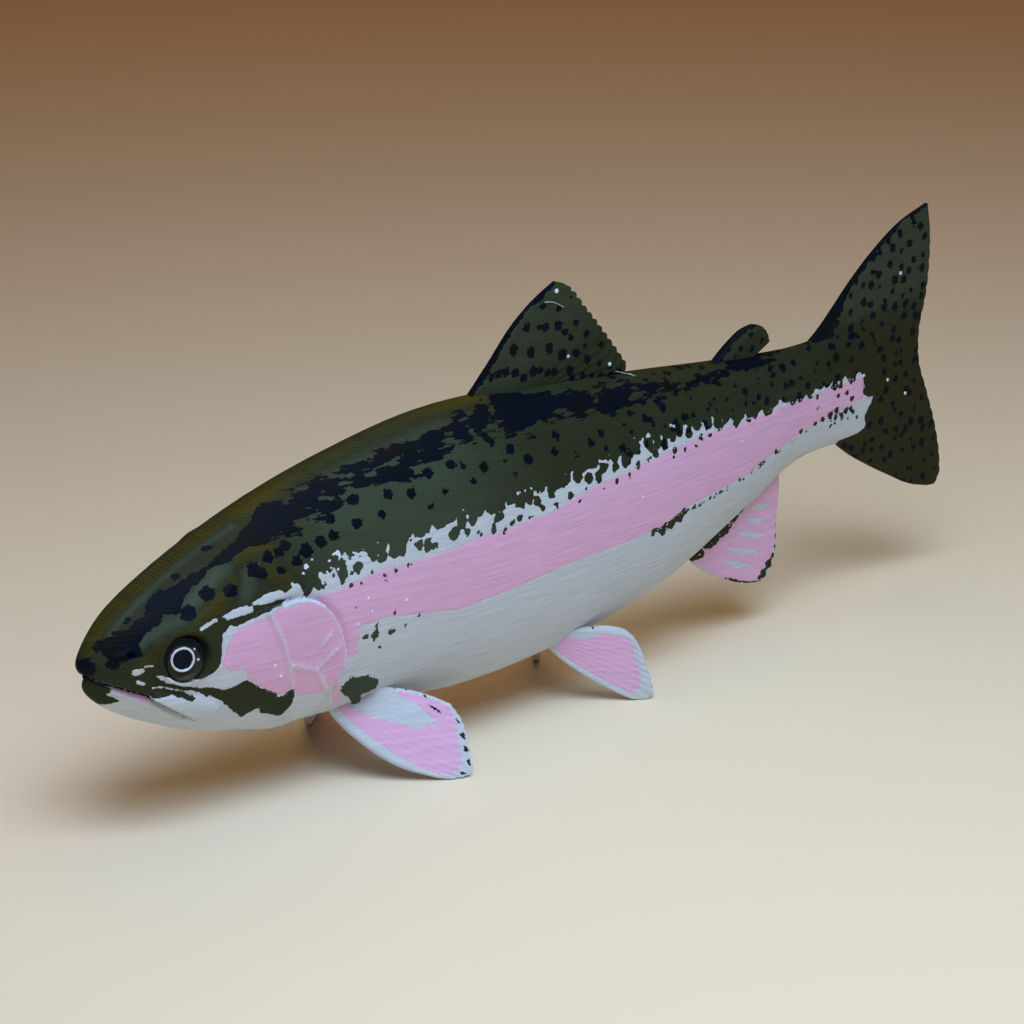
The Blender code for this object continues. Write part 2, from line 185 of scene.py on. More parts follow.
face = {                      # lines and outlines of the head, by station and height; the rest in mm
    "mouth": ((-20, -4), (2, -11.5), (18, -18.5), (43, -32), (80, -59.5)),
    "mouthEnd": 78,           # the station of its corner
    "maxilla": ((52, -33), (72, -45), (94, -57)),
    "eye": (75, -5.5),
    "nostrils": ((26, 2), (34, 5)),
    "cover": ((140, 16), (160, 15), (182, 14), (189, 12), (199, 6), (207, -3), (213, -12), (217, -23),
        (220, -34), (222, -45), (221, -55), (213, -68), (203, -84), (187, -95), (165, -102), (130, -102),
        (100, -60), (112, -10)),
    "rearRim": slice(3, 13),  # the part of the cover's outline that stands free
    "jawStep": (0.3, 11.5, 16.5),         # how far the lower jaw is set back, and between which x it ends
    "lip": (0.75, 0.24, 0.42),            # how far over the slit, height, width
    "slit": ((1.15, 0.36), (0.9, 1.3)),   # depth and width, and what the snout's end adds to them
    "coverStep": (0.55, 4.5, 0.1),        # height, and how far it runs out inside and outside
    "coverGroove": (0.65, 0.3, 0.6),      # depth, how far out, width
    "socket": (1.4, 3.0, 3.6),            # depth, and the radii that its wall runs between
    "eyeRims": ((3.95, 0.5, 0.4), (4.85, 0.2, 0.3)),     # radius, height, width
    "nostril": ((0.8, 0.2, 0.3), (0, -0.9, 0.42)),
    "maxillaDome": (0.95, 1.1, 10, 17),   # height, how much it narrows, and between which x
    "gillSpotStep": 0.6,
    # ridges and grooves: height and width, and the line
    "lines": {
        "brow": (0.35, 0.8, ((52, 8), (62, 15), (76, 17), (90, 13), (101, 3))),
        "preopercle": (0.5, 0.32, ((148, 13), (151, 5), (155, -5), (159, -14), (162, -24), (165, -33),
            (168, -45), (172, -58))),
        "coverArm": (0.32, 0.28, ((169, -38), (193, -48), (215, -33))),
        "coverFork": (0.32, 0.28, ((193, -48), (205, -69))),
        "coverSpur": (0.32, 0.28, ((206, -20), (196, -29))),
        "throatFold": (-0.5, 0.3, ((213, -80), (205, -92), (185, -104))),
        "chinFold": (-0.5, 0.3, ((176, -84), (150, -93), (120, -91))),
    },
    "crests": ("preopercle", "coverArm", "coverFork", "coverSpur"),     # the lines along which a highlight is painted
}


def overMouth(x, z):
    # height over the mouth's line, running on round its corner, mm
    height = z - lineHeight(face["mouth"], x)
    past = np.maximum(x - inMm(face["mouthEnd"]), 0)
    return np.where(height < 0, -1, 1) * np.hypot(height * 0.85, past)


def fromPoint(x, z, spot):
    spot = inMm(spot)
    return np.hypot(x - spot[0], z - spot[1])


def relief(x, z, along, arc):
    # how far the print stands proud of the plain body, mm
    mouth, over = toLine(x, z, face["mouth"]), overMouth(x, z)
    setBack, start, end = face["jawStep"]
    out = -setBack * (over < 0) * (1 - ramp(x, start, end)) * ramp(mouth, 0.0, 0.5)
    away, height, width = face["lip"]
    out += ridge(mouth - away, height, width) * ramp(x, 1.0, 3.5) * (1 - ramp(x, 13, 16))
    slit, snoutEnd = face["slit"]
    out -= ridge(mouth, *slit) + ridge(mouth, *snoutEnd) * (1 - ramp(x, 0.6, 3.5))
    height, narrower, start, end = face["maxillaDome"]
    dome = toLine(x, z, face["maxilla"]) / (1.0 + narrower * ramp(x, start, end))
    out += height * np.sqrt(np.clip(1 - dome ** 2, 0, 1)) * ((over > 0.1) | (x > inMm(face["mouthEnd"] + 1)))
    fromEye = fromPoint(x, z, face["eye"])
    depth, start, end = face["socket"]
    out -= depth * (1 - ramp(fromEye, start, end))
    for radius, height, width in face["eyeRims"]:
        out += ridge(fromEye - radius, height, width)
    for spot in face["nostrils"]:
        for radius, height, width in face["nostril"]:
            out += ridge(fromPoint(x, z, spot) - radius, height, width)
    for height, width, line in face["lines"].values():
        out += ridge(toLine(x, z, line), height, width)
    for name, (height, width) in raised.items():
        out += ridge(toLine(along, arc, sheenLines[name][2]), height, width)
    cover = inOutline(x, z, face["cover"])
    height, inner, outer = face["coverStep"]
    depth, away, width = face["coverGroove"]
    out += ramp(x, 27, 33) * np.where(cover > 0, ridge(cover, height, inner),
                                      ridge(cover, height, outer) - ridge(cover + away, depth, width))
    return out + face["gillSpotStep"] * ramp(inOutline(x, z, marks["gillSpot"]), -0.1, 0.5)


# the four colours, each as a depth inside its own area

marks = {
    # outlines and lines by station and height
    "oliveEdge": ((0, -9), (14, -14), (30, -21), (52, -14), (66, -21), (86, -25), (97, -23), (103, -17),
        (106, 6), (112, 9), (125, 10), (141, 12), (158, 15), (172, 16), (183, 13), (190, 13), (196, 20),
        (204, 25), (242, 25), (325, 25), (413, 24), (462, 24), (511, 27), (563, 28), (617, 27), (672, 21),
        (729, 16), (789, 12), (849, 10), (884, 10)),
    "aheadOfTail": ((-50, 200), (884, 200), (884, 10), (883, -9), (890, -14), (899, -16), (895, -23),
        (886, -30), (888, -40), (886, -60), (884, -200), (-50, -200)),
    "upperLip": ((0, -9), (30, -3), (52, -9), (58, -22), (86, -31), (110, -42), (104, -49), (95, -43),
        (88, -42), (75, -40), (67, -35), (62, -32.5), (57, -31.5), (49, -31), (44, -31), (18, -18)),
    "jawTip": ((-2, -10), (12, -17), (20, -21), (16, -25), (26, -33), (14, -37), (0, -24)),
    "lowPatch": ((92, -36), (100, -39), (112, -41), (126, -37), (139, -48), (163, -64), (173, -58),
        (175, -66), (174, -76), (167, -84), (144, -74), (143, -68), (135, -70), (128, -73), (116, -62),
        (105, -50), (96, -43)),
    "underEye": ((50, -14), (59, -17), (69, -22), (86, -25), (96, -23), (103, -19), (106, -12), (105, -2),
        (108, 7), (114, 11), (122, 8), (138, -24), (128, -37), (114, -41), (103, -38), (86, -33), (69, -27),
        (54, -18)),
    "templeFront": ((107, 19), (119, 22), (131, 23), (137, 20), (136, 16), (125, 16.5), (113, 16)),
    "templeRear": ((136, 23), (150, 27), (162, 27), (167, 23), (174, 25), (173, 30), (180, 26), (184, 19),
        (188, 11), (180, 12), (174, 15), (172, 18), (158, 20), (148, 19), (139, 21)),
    "streaks": (               # half their width in mm, and the line
        (0.24, ((88, 15), (95, 16), (103, 18))),
        (0.42, ((35, -9), (40, -8))),
        (0.2, ((42, -5), (48, -6))),
        (0.2, ((37, -17), (41, -19.5))),
        (0.17, ((48, -24), (57, -26), (66, -29.5), (76, -34.5))),
        (0.32, ((73, -33), (81, -37), (88, -41.5))),
    ),
    "band": ((196, 12), (217, 12), (236, 14), (252, 17), (303, 13), (379, 14), (441, 11), (503, 18),
        (560, 19), (604, 21), (650, 21), (700, 17), (750, 14), (796, 11), (850, 9), (884, 8), (884, -13),
        (850, -15), (777, -21), (705, -34), (627, -35), (584, -43), (531, -42), (465, -39), (409, -41),
        (341, -41), (298, -32), (262, -24), (250, -25), (237, -24), (235, -38), (236, -47), (222, -50),
        (200, -55)),
    "plate": ((149, 10), (158, 14), (171, 12), (182, 12), (189, 11), (199, 6), (207, -3), (213, -12),
        (217, -23), (220, -34), (222, -45), (220, -56), (206, -70), (197, -72), (177, -67), (173, -58),
        (150, -20)),
    "lowerLip": (0.32, ((22, -22), (34, -29), (45, -36))),      # half its width in mm, and the line
    "cheek": ((158, 14), (149, 8), (133, 9), (116, 5), (109, -4), (106, -12), (103, -19), (111, -26),
        (123, -27), (127, -37), (139, -47), (152, -57), (163, -63), (174, -58), (175, -20)),
    "throatPink": ((214, -70), (217, -65), (220, -70), (223, -80), (228, -86), (230, -97), (224, -95),
        (216, -80)),
    "gillSpot": ((222, -75), (227, -71), (236, -69), (251, -73), (262, -80), (266, -86), (260, -92),
        (249, -91), (256, -100), (253, -105), (247, -103), (240, -93), (231, -86), (224, -80)),
    "lowBlot": ((570, -41), (577, -41), (583, -43), (592, -40), (600, -41), (606, -38), (618, -35),
        (624, -39), (617, -42), (614, -47), (604, -45), (600, -50), (592, -46), (586, -51), (583, -46),
        (575, -46)),
    "sideBlot": ((255, -23), (250, -30), (249, -40), (252, -44), (257, -36), (254, -32)),
    # by station and length round the skin from the middle of the back
    "headBand": ((11, 1), (20, 11), (30, 19), (27, 11), (37, 22), (44, 22), (52, 24), (57, 20), (64, 16),
        (72, 16), (78, 21), (92, 24), (110, 26), (124, 26), (139, 24), (150, 28), (150, 35), (131, 35),
        (120, 31), (110, 31), (102, 34), (94, 33), (86, 36), (74, 40), (66, 34), (62, 37), (46, 35),
        (41, 38), (41, 47), (34, 44), (27, 35), (19, 24), (13, 10)),
    "flankBand": ((140, 29), (150, 21), (167, 17), (193, 14), (215, 17), (248, 20), (281, 24), (308, 26),
        (336, 28), (360, 27), (382, 22), (409, 15), (428, 9), (437, 2), (463, 8), (500, 14), (530, 21),
        (560, 20), (590, 21), (630, 21), (694, 17), (694, 21), (640, 26), (604, 32), (580, 36), (551, 46),
        (530, 38), (510, 43), (484, 37), (455, 43), (438, 51), (413, 44), (390, 41), (369, 50), (350, 48),
        (325, 50), (297, 53), (280, 48), (262, 40), (249, 38), (235, 49), (211, 46), (178, 42), (157, 38)),
    # navy painted as shade on the back under the adipose fin
    "adiposeShade": ((698, -8), (706, 10), (722, 19), (752, 17), (766, 8), (772, -8)),
    "rightLower": 20,         # the flank's navy starts this much lower on the right side
    # in mm, or as a tint: at first, what is added, and the stations over which it comes and goes
    "navyDepth": (0.75, 1.6, (415, 445), (520, 570)),      # kept small where it breaks up into islands
    # a painted sheen that turns the fore flank a lighter, cooler green
    "flankSheen": (0, -0.55, (150, 240), (300, 480)),
}

sheenLines = {                    # painted sheen, by station and length round the skin: tint (warm on ridges, cool in hollows), width in mm, line
    "crown": (0.62, 1.7, ((14, 0), (30, 5), (57, 6), (94, 5), (140, 4), (200, 2), (420, 2))),
    "shoulder": (0.45, 2.2, ((175, 9), (300, 14), (430, 4))),
    "crownEdge": (-0.8, 0.7, ((25, 12), (48, 13), (69, 11), (100, 10), (150, 12))),
    "brow": (0.62, 1.5, ((42, 52), (50, 47), (68, 50), (81, 56), (94, 58), (108, 56), (122, 54), (128, 43),
        (140, 35), (151, 39), (164, 48))),
    "temple": (-0.85, 1.5, ((46, 40), (65, 44), (76, 48), (88, 43), (103, 40), (114, 37), (126, 40))),
    "nape": (0.6, 1.2, ((155, 58), (164, 65), (171, 75), (176, 84))),
    "cheekTop": (-0.6, 1.6, ((134, 62), (140, 52), (152, 52))),
    "rearBack": (0.5, 1.6, ((590, 2), (850, 2))),
}
raised = {"brow": (0.42, 1.0), "crown": (0.3, 1.2), "nape": (0.3, 0.9)}      # height and width in mm


def tailTint(z):
    # the tail runs from brown below to cool green above, and the stalk runs into it
    return 0.55 - 0.95 * ramp(z, inMm(25), inMm(80))


def between(s, name):
    # a value that comes and goes along the fish
    first, more, come, go = marks[name]
    return first + more * ramp(s, *come) * (1 - ramp(s, *go))


def paintBody(s, place, arc):
    # how deep each point lies inside each colour, in mm, and how far that colour's edge wanders
    x, z = place[..., 0], place[..., 2]
    depth = {name: inOutline(x, z, marks[name]) for name in
             ("aheadOfTail", "upperLip", "jawTip", "lowPatch", "underEye", "templeFront", "templeRear",
              "band", "plate", "cheek", "throatPink")}
    olive = np.max((z - lineHeight(marks["oliveEdge"], x), -depth["aheadOfTail"], depth["upperLip"]), axis=0)
    for name in ("underEye", "templeFront", "templeRear"):
        olive = np.minimum(olive, -depth[name])
    for width, line in marks["streaks"]:
        olive = np.minimum(olive, toLine(x, z, line) - width)
    olive = np.max((olive, depth["jawTip"], depth["lowPatch"]), axis=0)
    pink = np.max([depth[name] for name in ("band", "plate", "cheek", "throatPink")], axis=0)
    lipWidth, lip = marks["lowerLip"]
    pink = np.maximum(pink, lipWidth - toLine(x, z, lip))
    along = inMm(s)
    lowered = arc - np.where(place[..., 1] > 0.01, inMm(marks["rightLower"]), 0)
    flank = np.minimum(inOutline(along, lowered, marks["flankBand"]), between(s, "navyDepth"))
    navy = np.max((flank, inOutline(along, arc, marks["headBand"]),
                   inOutline(along, arc, marks["adiposeShade"])), axis=0)
    # the olive's painted sheen along the sheen lines and on the fore flank, giving way to the tail's own run
    tint = sum(ridge(toLine(along, arc, line), strength, width) for strength, width, line in sheenLines.values())
    tint = tint + between(s, "flankSheen")
    tint = tint + (tailTint(z) - tint) * ramp(s, 800, 870)
    return {"olive": olive, "pink": pink, "navy": navy, "tint": tint, "rear": ramp(s, 380, 720),
            "ragged": 0.06 + ramp(s, 186, 206) * (2.4 - 1.6 * ramp(s, 540, 760)) * (s < 880),
            "loose": 0.25 + 1.25 * ramp(s, 140, 200)}


spots = {
    # station, length round the skin from the back, radius in mm
    "navy": ((4, 9, 1.25), (21, 31, 0.8), (83, 46, 1.0), (103, 44, 0.95), (121, 54, 0.85), (146, 50, 0.7),
        (151, 58, 0.75), (144, 53, 0.6), (195, 64, 0.9), (179, 51, 0.75), (88, 17, 0.5), (122, 15, 0.55),
        (40, 17, 0.4), (171, 53, 0.6), (184, 67, 0.7), (168, 66, 0.6), (161, 51, 0.7), (210, 64, 0.8),
        (251, 48, 0.85), (247, 66, 0.7), (223, 65, 0.75), (272, 69, 0.6), (284, 57, 0.7), (305, 65, 0.7),
        (327, 56, 0.75), (338, 75, 0.55), (320, 82, 0.5), (352, 57, 0.7), (363, 61, 0.55), (384, 68, 0.75),
        (369, 76, 0.5), (417, 59, 0.75), (433, 70, 0.8), (407, 68, 0.5), (400, 49, 0.7), (471, 55, 0.7),
        (464, 68, 0.6), (508, 65, 0.65), (523, 59, 0.6), (524, 72, 0.5), (488, 73, 0.5), (415, 80, 0.45),
        (301, 47, 0.65), (225, 52, 0.65)),
    "grown": 1.2,             # every navy spot's radius is this much larger
    # strewn over the rear of the back instead: how far apart, stations, lengths round, stray, radius
    "rear": {"seed": 5, "pitch": 14.5, "stations": (545, 885), "arcs": (8, 96), "stray": (8, 7),
             "radius": (0.35, 0.85)},
    # station, height, radius in mm
    "olive": ((242, -35, 0.55), (269, -39, 0.6), (283, -38, 0.4), (258, -49, 0.38), (298, -33, 0.45),
        (231, -65, 0.34), (237, -62, 0.34), (222, 17, 0.42), (214, 25, 0.35), (232, 22, 0.4), (205, 20, 0.3),
        (836, -21, 0.42), (842, -20, 0.5), (849, -19, 0.55), (856, -18, 0.6), (863, -17, 0.6),
        (841, -26, 0.35), (874, -29, 0.4), (263, 11, 0.4), (264, 6, 0.32), (245, -3, 0.25), (233, -7, 0.32),
        (247, -16, 0.28), (271, -23, 0.4), (116, -7, 0.25), (574, -47, 0.5), (588, -49, 0.6),
        (630, -39, 0.45), (638, -39, 0.4), (645, -39, 0.35), (654, -38, 0.4), (662, -38, 0.4),
        (670, -37, 0.5), (679, -37, 0.35), (687, -36, 0.35), (698, -35, 0.42), (705, -36, 0.3),
        (716, -33, 0.42), (728, -31, 0.6), (735, -30, 0.4), (752, -25, 0.45), (757, -27, 0.4),
        (775, -24, 0.3), (790, -18, 0.6), (800, -21, 0.3), (812, -17, 0.5), (822, -16, 0.5), (834, -15, 0.7),
        (842, -13, 0.6), (834, -26, 0.4), (851, -24, 0.45), (861, -26, 0.3), (866, -9, 0.55), (815, -3, 0.4),
        (845, 0, 0.45), (858, -1, 0.5), (868, -22, 0.4)),
    # small pale islands over the band's ragged upper edge: station, height, radius
    "pale": ((218, 40, 0.24), (223, 39, 0.26), (228, 38, 0.22), (213, 31, 0.22), (219, 28, 0.25),
        (191, 38, 0.42), (198, 41, 0.24), (203, 47, 0.24), (222, 41, 0.36), (187, 34, 0.28), (213, 36, 0.3),
        (222, 36, 0.24), (231, 34, 0.24), (202, 43, 0.2), (209, 28, 0.3), (203, 29, 0.28), (247, 38, 0.2),
        (262, 39, 0.2), (287, 38, 0.26), (331, 40, 0.2), (352, 40, 0.26), (390, 38, 0.2), (437, 37, 0.2),
        (470, 37, 0.26), (520, 38, 0.2), (571, 38, 0.26), (640, 33, 0.2), (702, 27, 0.26), (760, 22, 0.2)),
    "stretch": (0.88, 1, 1),  # every spot is a little longer than it is high
}


def spotField(centres, place):
    # depth inside the nearest of some round spots
    field = np.full(place.shape[:-1], -farAway)
    for centre, radius in centres:
        field = np.maximum(field, radius - np.linalg.norm((place - centre) * spots["stretch"], axis=-1))
    return field


def paintSpots(place):
    # both sides carry the same spots
    left = np.stack((place[..., 0], -np.abs(place[..., 1]), place[..., 2]), -1)
    navy = [(onSide(s, arc), radius * spots["grown"]) for s, arc, radius in spots["navy"]]
    rear = spots["rear"]
    chance = np.random.default_rng(rear["seed"])
    stray, strayRound = rear["stray"]
    for s in np.arange(*rear["stations"], rear["pitch"]):
        for arc in np.arange(*rear["arcs"], rear["pitch"]):
            at = onSide(s + chance.uniform(-stray, stray), arc + chance.uniform(-strayRound, strayRound))
            navy.append((at, chance.uniform(*rear["radius"])))
    fields = {"navySpots": spotField(navy, left)}
    for field, name in (("oliveSpots", "olive"), ("pale", "pale")):
        fields[field] = spotField([(onFlank(s, z), radius) for s, z, radius in spots[name]], left)
    for name in ("gillSpot", "sideBlot", "lowBlot"):
        blot = inOutline(place[..., 0], place[..., 2], marks[name])
        fields["oliveSpots"] = np.maximum(fields["oliveSpots"], blot)
    return fields


# making pieces

def clear():
    if bpy.context.object and bpy.context.object.mode != "OBJECT":
        bpy.ops.object.mode_set(mode="OBJECT")
    bpy.ops.object.select_all(action="DESELECT")


def pick(piece):
    clear()
    piece.select_set(True)
    bpy.context.view_layer.objects.active = piece


def corners(piece):
    flat = np.empty(len(piece.data.vertices) * 3)
    piece.data.vertices.foreach_get("co", flat)
    return flat.reshape(-1, 3)


def moveTo(piece, points):
    piece.data.vertices.foreach_set("co", points.astype(np.float32).ravel())
    piece.data.update()


def sheetOf(name, rows, columns):
    # a unit grid at the origin; returns it with each corner's row and column as 0 to 1
    clear()
    bpy.ops.mesh.primitive_grid_add(x_subdivisions=rows, y_subdivisions=columns, size=1)
    made = bpy.context.object
    made.name = made.data.name = name
    places = corners(made) + 0.5
    return made, places[:, 0], places[:, 1]


# what a piece carries where it sets nothing of its own
bare = {"ragged": 0.08, "loose": 0.3, "tint": 0, "rear": 0}
bare |= {name: -farAway for name in ("olive", "pink", "navy", "navySpots", "oliveSpots", "pale")}
bare |= {name: farAway for name in ("cover", "lip", "crestHighlight")}


def paint(piece, fields):
    # one number a corner for each field
    plain = np.zeros(len(piece.data.vertices), np.float32)
    for name, values in fields.items():
        layer = piece.data.attributes.new(name, "FLOAT", "POINT")
        layer.data.foreach_set("value", plain + np.ravel(values).astype(np.float32))


def closeUp(piece):
    # merges the seam and the poles, and points every face outwards
    pick(piece)
    bpy.ops.object.mode_set(mode="EDIT")
    bpy.ops.mesh.select_all(action="SELECT")
    bpy.ops.mesh.remove_doubles(threshold=0.00002)
    bpy.ops.mesh.normals_make_consistent(inside=False)
    bpy.ops.object.mode_set(mode="OBJECT")


def makeBody():
    piece, u, v = sheetOf("troutSkin", body["rows"], body["columns"])
    share = body["headRows"] / body["rows"]
    s = np.where(u < share, body["headEnd"] * (u / share) ** body["snoutShare"],
                 body["headEnd"] + (body["station"][-1] - body["headEnd"]) * (u - share) / (1 - share))
    angle = 2 * math.pi * v + body["flankShare"] / 2 * np.sin(4 * math.pi * v)
    place = bodyPoint(s, angle)
    # the way out of the skin, from a short step along and a short step round
    step, turn, tip = 1.5, 0.02, 0.4
    ahead = bodyPoint(s + step, angle) - bodyPoint(np.maximum(s - step, 0.05), angle)
    around = bodyPoint(s, angle + turn) - bodyPoint(s, angle - turn)
    normal = np.cross(around, ahead)
    normal /= np.maximum(np.linalg.norm(normal, axis=1, keepdims=True), 1e-9)
    normal[s < tip] = (-1, 0, 0)
    # length round the skin from the middle of the back, the same on both sides
    arc = np.zeros(len(s))
    folded = np.mod(angle, 2 * math.pi)
    folded = np.minimum(folded, 2 * math.pi - folded)
    here = bodyPoint(s, np.zeros(len(s)))
    for high in np.linspace(0, math.pi, 60)[1:]:
        there = bodyPoint(s, np.minimum(high, folded))
        arc += np.linalg.norm(there - here, axis=1)
        here = there
    x, z = place[:, 0], place[:, 2]
    out = relief(x, z, inMm(s), arc)
    fields = {**paintBody(s, place, arc), **paintSpots(place)}
    fields["navySpots"][fields["olive"] < -1.2] = -farAway      # none on the pale flank
    rearRim = toLine(x, z, face["cover"][face["rearRim"]])
    fields["cover"] = np.where(inOutline(x, z, face["cover"]) > 0, rearRim, -rearRim)
    fields["lip"] = np.where(s < 90, overMouth(x, z), farAway)
    # distance to the cheek's raised lines, where the shader paints a highlight
    fields["crestHighlight"] = np.min([toLine(x, z, face["lines"][name][2]) for name in face["crests"]], axis=0)
    moveTo(piece, toFloorFrame(place + normal * out[:, None]))
    paint(piece, {**bare, **fields})
    closeUp(piece)
    return piece


# fins: a sheet between four edges, thickened with its rays standing proud

rightSpread = 10              # degrees that the right pair stands wider than the left

fins = {
    # a root lies between two stations of the back or the belly, or runs through its own points; the paired
    # fins have their middle, their outward and rearward ways, and a shift for the right one; outlines and
    # the notches' scallop in thousandths, thick at the root and the rim and rayHeight in mm; the rays
    # stand proud from raysFrom on, towards the rear edge
    "dorsal": {
        "root": (409, 530, "back"),
        "lead": ((438, 131.5), (466, 157), (492, 173), (514, 182.5)),
        "rim": ((514, 182.5), (525, 178), (549, 151), (573, 120), (591.5, 94)),
        "rear": ((552, 86), (572, 83.5), (586, 83), (591, 87), (591.5, 94)),
        "grid": (40, 72), "thick": (1.5, 1.0), "rays": 13, "rayHeight": 0.7, "scallop": 2.2,
        "raysFrom": 0.42,
    },
    "adipose": {
        "root": (697, 742, "back"),
        "lead": ((718, 79), (733, 86), (748, 88)),
        "rim": ((748, 88), (757, 85), (765, 77), (768, 68)),
        "rear": ((755, 62.5), (768, 68)),
        "grid": (18, 26), "thick": (1.7, 1.2), "rays": 5, "rayHeight": 0.08, "scallop": 0.4,
    },
    "anal": {
        "root": (655, 776, "belly"),
        "lead": ((680, -121), (708, -138), (730, -147.5), (750, -152)),
        "rim": ((750, -152), (761, -146), (769, -130), (772, -100), (775, -78)),
        "rear": ((776, -68), (775, -78)),
        "grid": (30, 46), "thick": (1.5, 1.0), "rays": 9, "rayHeight": 0.25, "scallop": 1.2,
    },
    "tail": {
        "root": ((815, 51), (849, -46)),
        "lead": ((832, 61), (850, 75), (878, 98), (908, 118.5), (943, 136.5), (978, 146)),
        "rim": ((978, 146), (981, 117), (976, 66), (965, 28), (965, 1), (975, -30), (987, -68),
            (992.5, -102), (992, -115), (985, -123.5), (974, -122.5)),
        "rear": ((871, -65), (893, -80), (923, -98.5), (952, -115), (974, -122.5)),
        "grid": (58, 96), "thick": (1.7, 1.0), "rays": 24, "rayHeight": 0.05, "scallop": 0.8,
    },
    "pectoral": {
        "middle": (249.4, -23.3, -97.5), "rightShift": (18, 0, -0.6),
        "along": (0.453, -0.605, -0.655), "across": (-0.801, 0.047, -0.597),
        "root": ((-20, 14), (-2, -8)),
        "lead": ((-20, 14), (0, 21.5), (30, 24), (66, 19.5), (96, 7)),
        "rim": ((96, 7), (108, -2), (115, -13), (109, -23), (98, -31.5), (84, -42), (68, -47)),
        "rear": ((-2, -8), (22, -27), (45, -39.5), (68, -47)),
        "grid": (42, 46), "thick": (2.0, 1.2), "rays": 13, "rayHeight": 0.3, "scallop": 1.6,
    },
    "pelvic": {
        "middle": (487.1, -23.8, -120.7), "rightShift": (12, 0, -0.2),
        "along": (0.567, -0.442, -0.694), "across": (-0.588, 0.373, -0.718),
        "root": ((-16, 13), (-10, -6)),
        "lead": ((-16, 13), (10, 15), (40, 12.5), (64, 8), (81, 3.5)),
        "rim": ((81, 3.5), (90, -3), (91.5, -11), (83, -19), (70, -27), (57, -34.5), (45, -39)),
        "rear": ((-10, -6), (6, -18), (22, -32), (33, -38), (45, -39)),
        "grid": (36, 40), "thick": (2.0, 1.2), "rays": 11, "rayHeight": 0.3, "scallop": 1.6,
    },
}
finForm = {                   # the same for all fins; places run from 0 at the root or leading edge to 1
    "rootDepth": 2.5,         # thousandths that a fin's root sits inside the body
    "notches": (2.5, (0.04, 0.2), (0.8, 1.0)),      # sharpness, and where they start aft and outward
    "rayRise": ((0.45, 0.05, 0.3), (0.55, 0.7, 0.92)),   # share of the ray's height, and where it rises
    "rim": (0.62, 1.6, 0.06),  # its share of the thickness, its slope at the sides, its width
    "thinnest": 0.05, "wallLeast": 0.02,            # shares of the thickness
}


def readPath(points, share):
    # a smooth line through flat points, read at shares of its length
    points = np.asarray(points, float)
    if len(points) == 2:
        return points[0] + (points[1] - points[0]) * share[:, None]
    walked = np.append(0, np.cumsum(np.linalg.norm(np.diff(points, axis=0), axis=1)))
    return np.stack([smooth(walked, points[:, k], share * walked[-1]) for k in (0, 1)], -1)


def finSheet(spec, r, v):
    # r from root to rim, v from the leading to the rear edge; flat places in thousandths
    root, lead, rim, rear = spec["root"], spec["lead"], spec["rim"], spec["rear"]
    if len(root) == 3:
        front, back, side = root
        sunk = -finForm["rootDepth"] if side == "back" else finForm["rootDepth"]
        root = [(s, float(alongBody(side, np.array(s))) + sunk) for s in np.linspace(front, back, 5)]
    if tuple(root[0]) != tuple(lead[0]):
        lead = (root[0],) + tuple(lead)
    if tuple(root[-1]) != tuple(rear[0]):
        rear = (root[-1],) + tuple(rear)
    a, b = readPath(root, v), readPath(rim, v)
    c, d = readPath(lead, r), readPath(rear, r)
    ra, va = r[:, None], v[:, None]
    root, rim = np.asarray(root, float), np.asarray(rim, float)
    corner = ((1 - va) * (1 - ra) * root[0] + va * (1 - ra) * root[-1]
              + (1 - va) * ra * rim[0] + va * ra * rim[-1])
    return (1 - ra) * a + ra * b + (1 - va) * c + va * d - corner


def makeFin(name, side, paintFin):
    spec = fins[name]
    piece, r, v = sheetOf(name, *spec["grid"])
    # the rim is notched between the rays
    wave = 0.5 + 0.5 * np.cos(2 * math.pi * spec["rays"] * v)
    sharpness, aft, outward = finForm["notches"]
    notch = spec["scallop"] * (1 - wave) ** sharpness * ramp(v, *aft)
    base, tip = finSheet(spec, np.array((0.0, 1.0)), np.full(2, 0.5))
    flat = finSheet(spec, r * (1 - notch / np.linalg.norm(tip - base) * ramp(r, *outward)), v)
    if "middle" in spec:
        middle, along, across = (np.array(spec[k]) * (1, side, 1) for k in ("middle", "along", "across"))
        if side < 0:
            spread = np.array(Matrix.Rotation(math.radians(rightSpread), 3, "Z"))
            middle, along, across = middle + spec["rightShift"], spread @ along, spread @ across
        along /= np.linalg.norm(along)
        across -= along * (across @ along)
        across /= np.linalg.norm(across)
        place = middle + flat[:, :1] * along + flat[:, 1:] * across
    else:
        place = np.stack((flat[:, 0], 0 * r, flat[:, 1]), -1)
    moveTo(piece, toFloorFrame(inMm(place)))
    # its thickness falls off outward, between the rays and at the rim
    atRoot, atRim = spec["thick"]
    raysFrom = spec.get("raysFrom", 0)
    rise = sum(part * ramp(r, start, end) for part, start, end in finForm["rayRise"])
    thick = atRoot + (atRim - atRoot) * r
    thick = thick - spec["rayHeight"] * (1 - wave) * rise * ramp(v, raysFrom - 0.01, raysFrom + 0.25)
    share, slope, width = finForm["rim"]
    edge = np.minimum(np.minimum(v, 1 - v) * slope, 1 - r)
    thick = thick * (share + (1 - share) * ramp(edge, 0.0, width))
    weights = piece.vertex_groups.new(name="thickness")
    for i, part in enumerate(np.clip(thick / atRoot, finForm["thinnest"], 1)):
        weights.add([i], float(part), "REPLACE")
    paint(piece, {**bare, **paintFin(name, r, v, flat)})
    pick(piece)
    wall = piece.modifiers.new("wall", "SOLIDIFY")
    wall.thickness = atRoot / 1000
    wall.offset = 0
    wall.vertex_group = "thickness"
    wall.thickness_vertex_group = finForm["wallLeast"]
    bpy.ops.object.modifier_apply(modifier="wall")
    piece.vertex_groups.clear()
    closeUp(piece)
    return piece


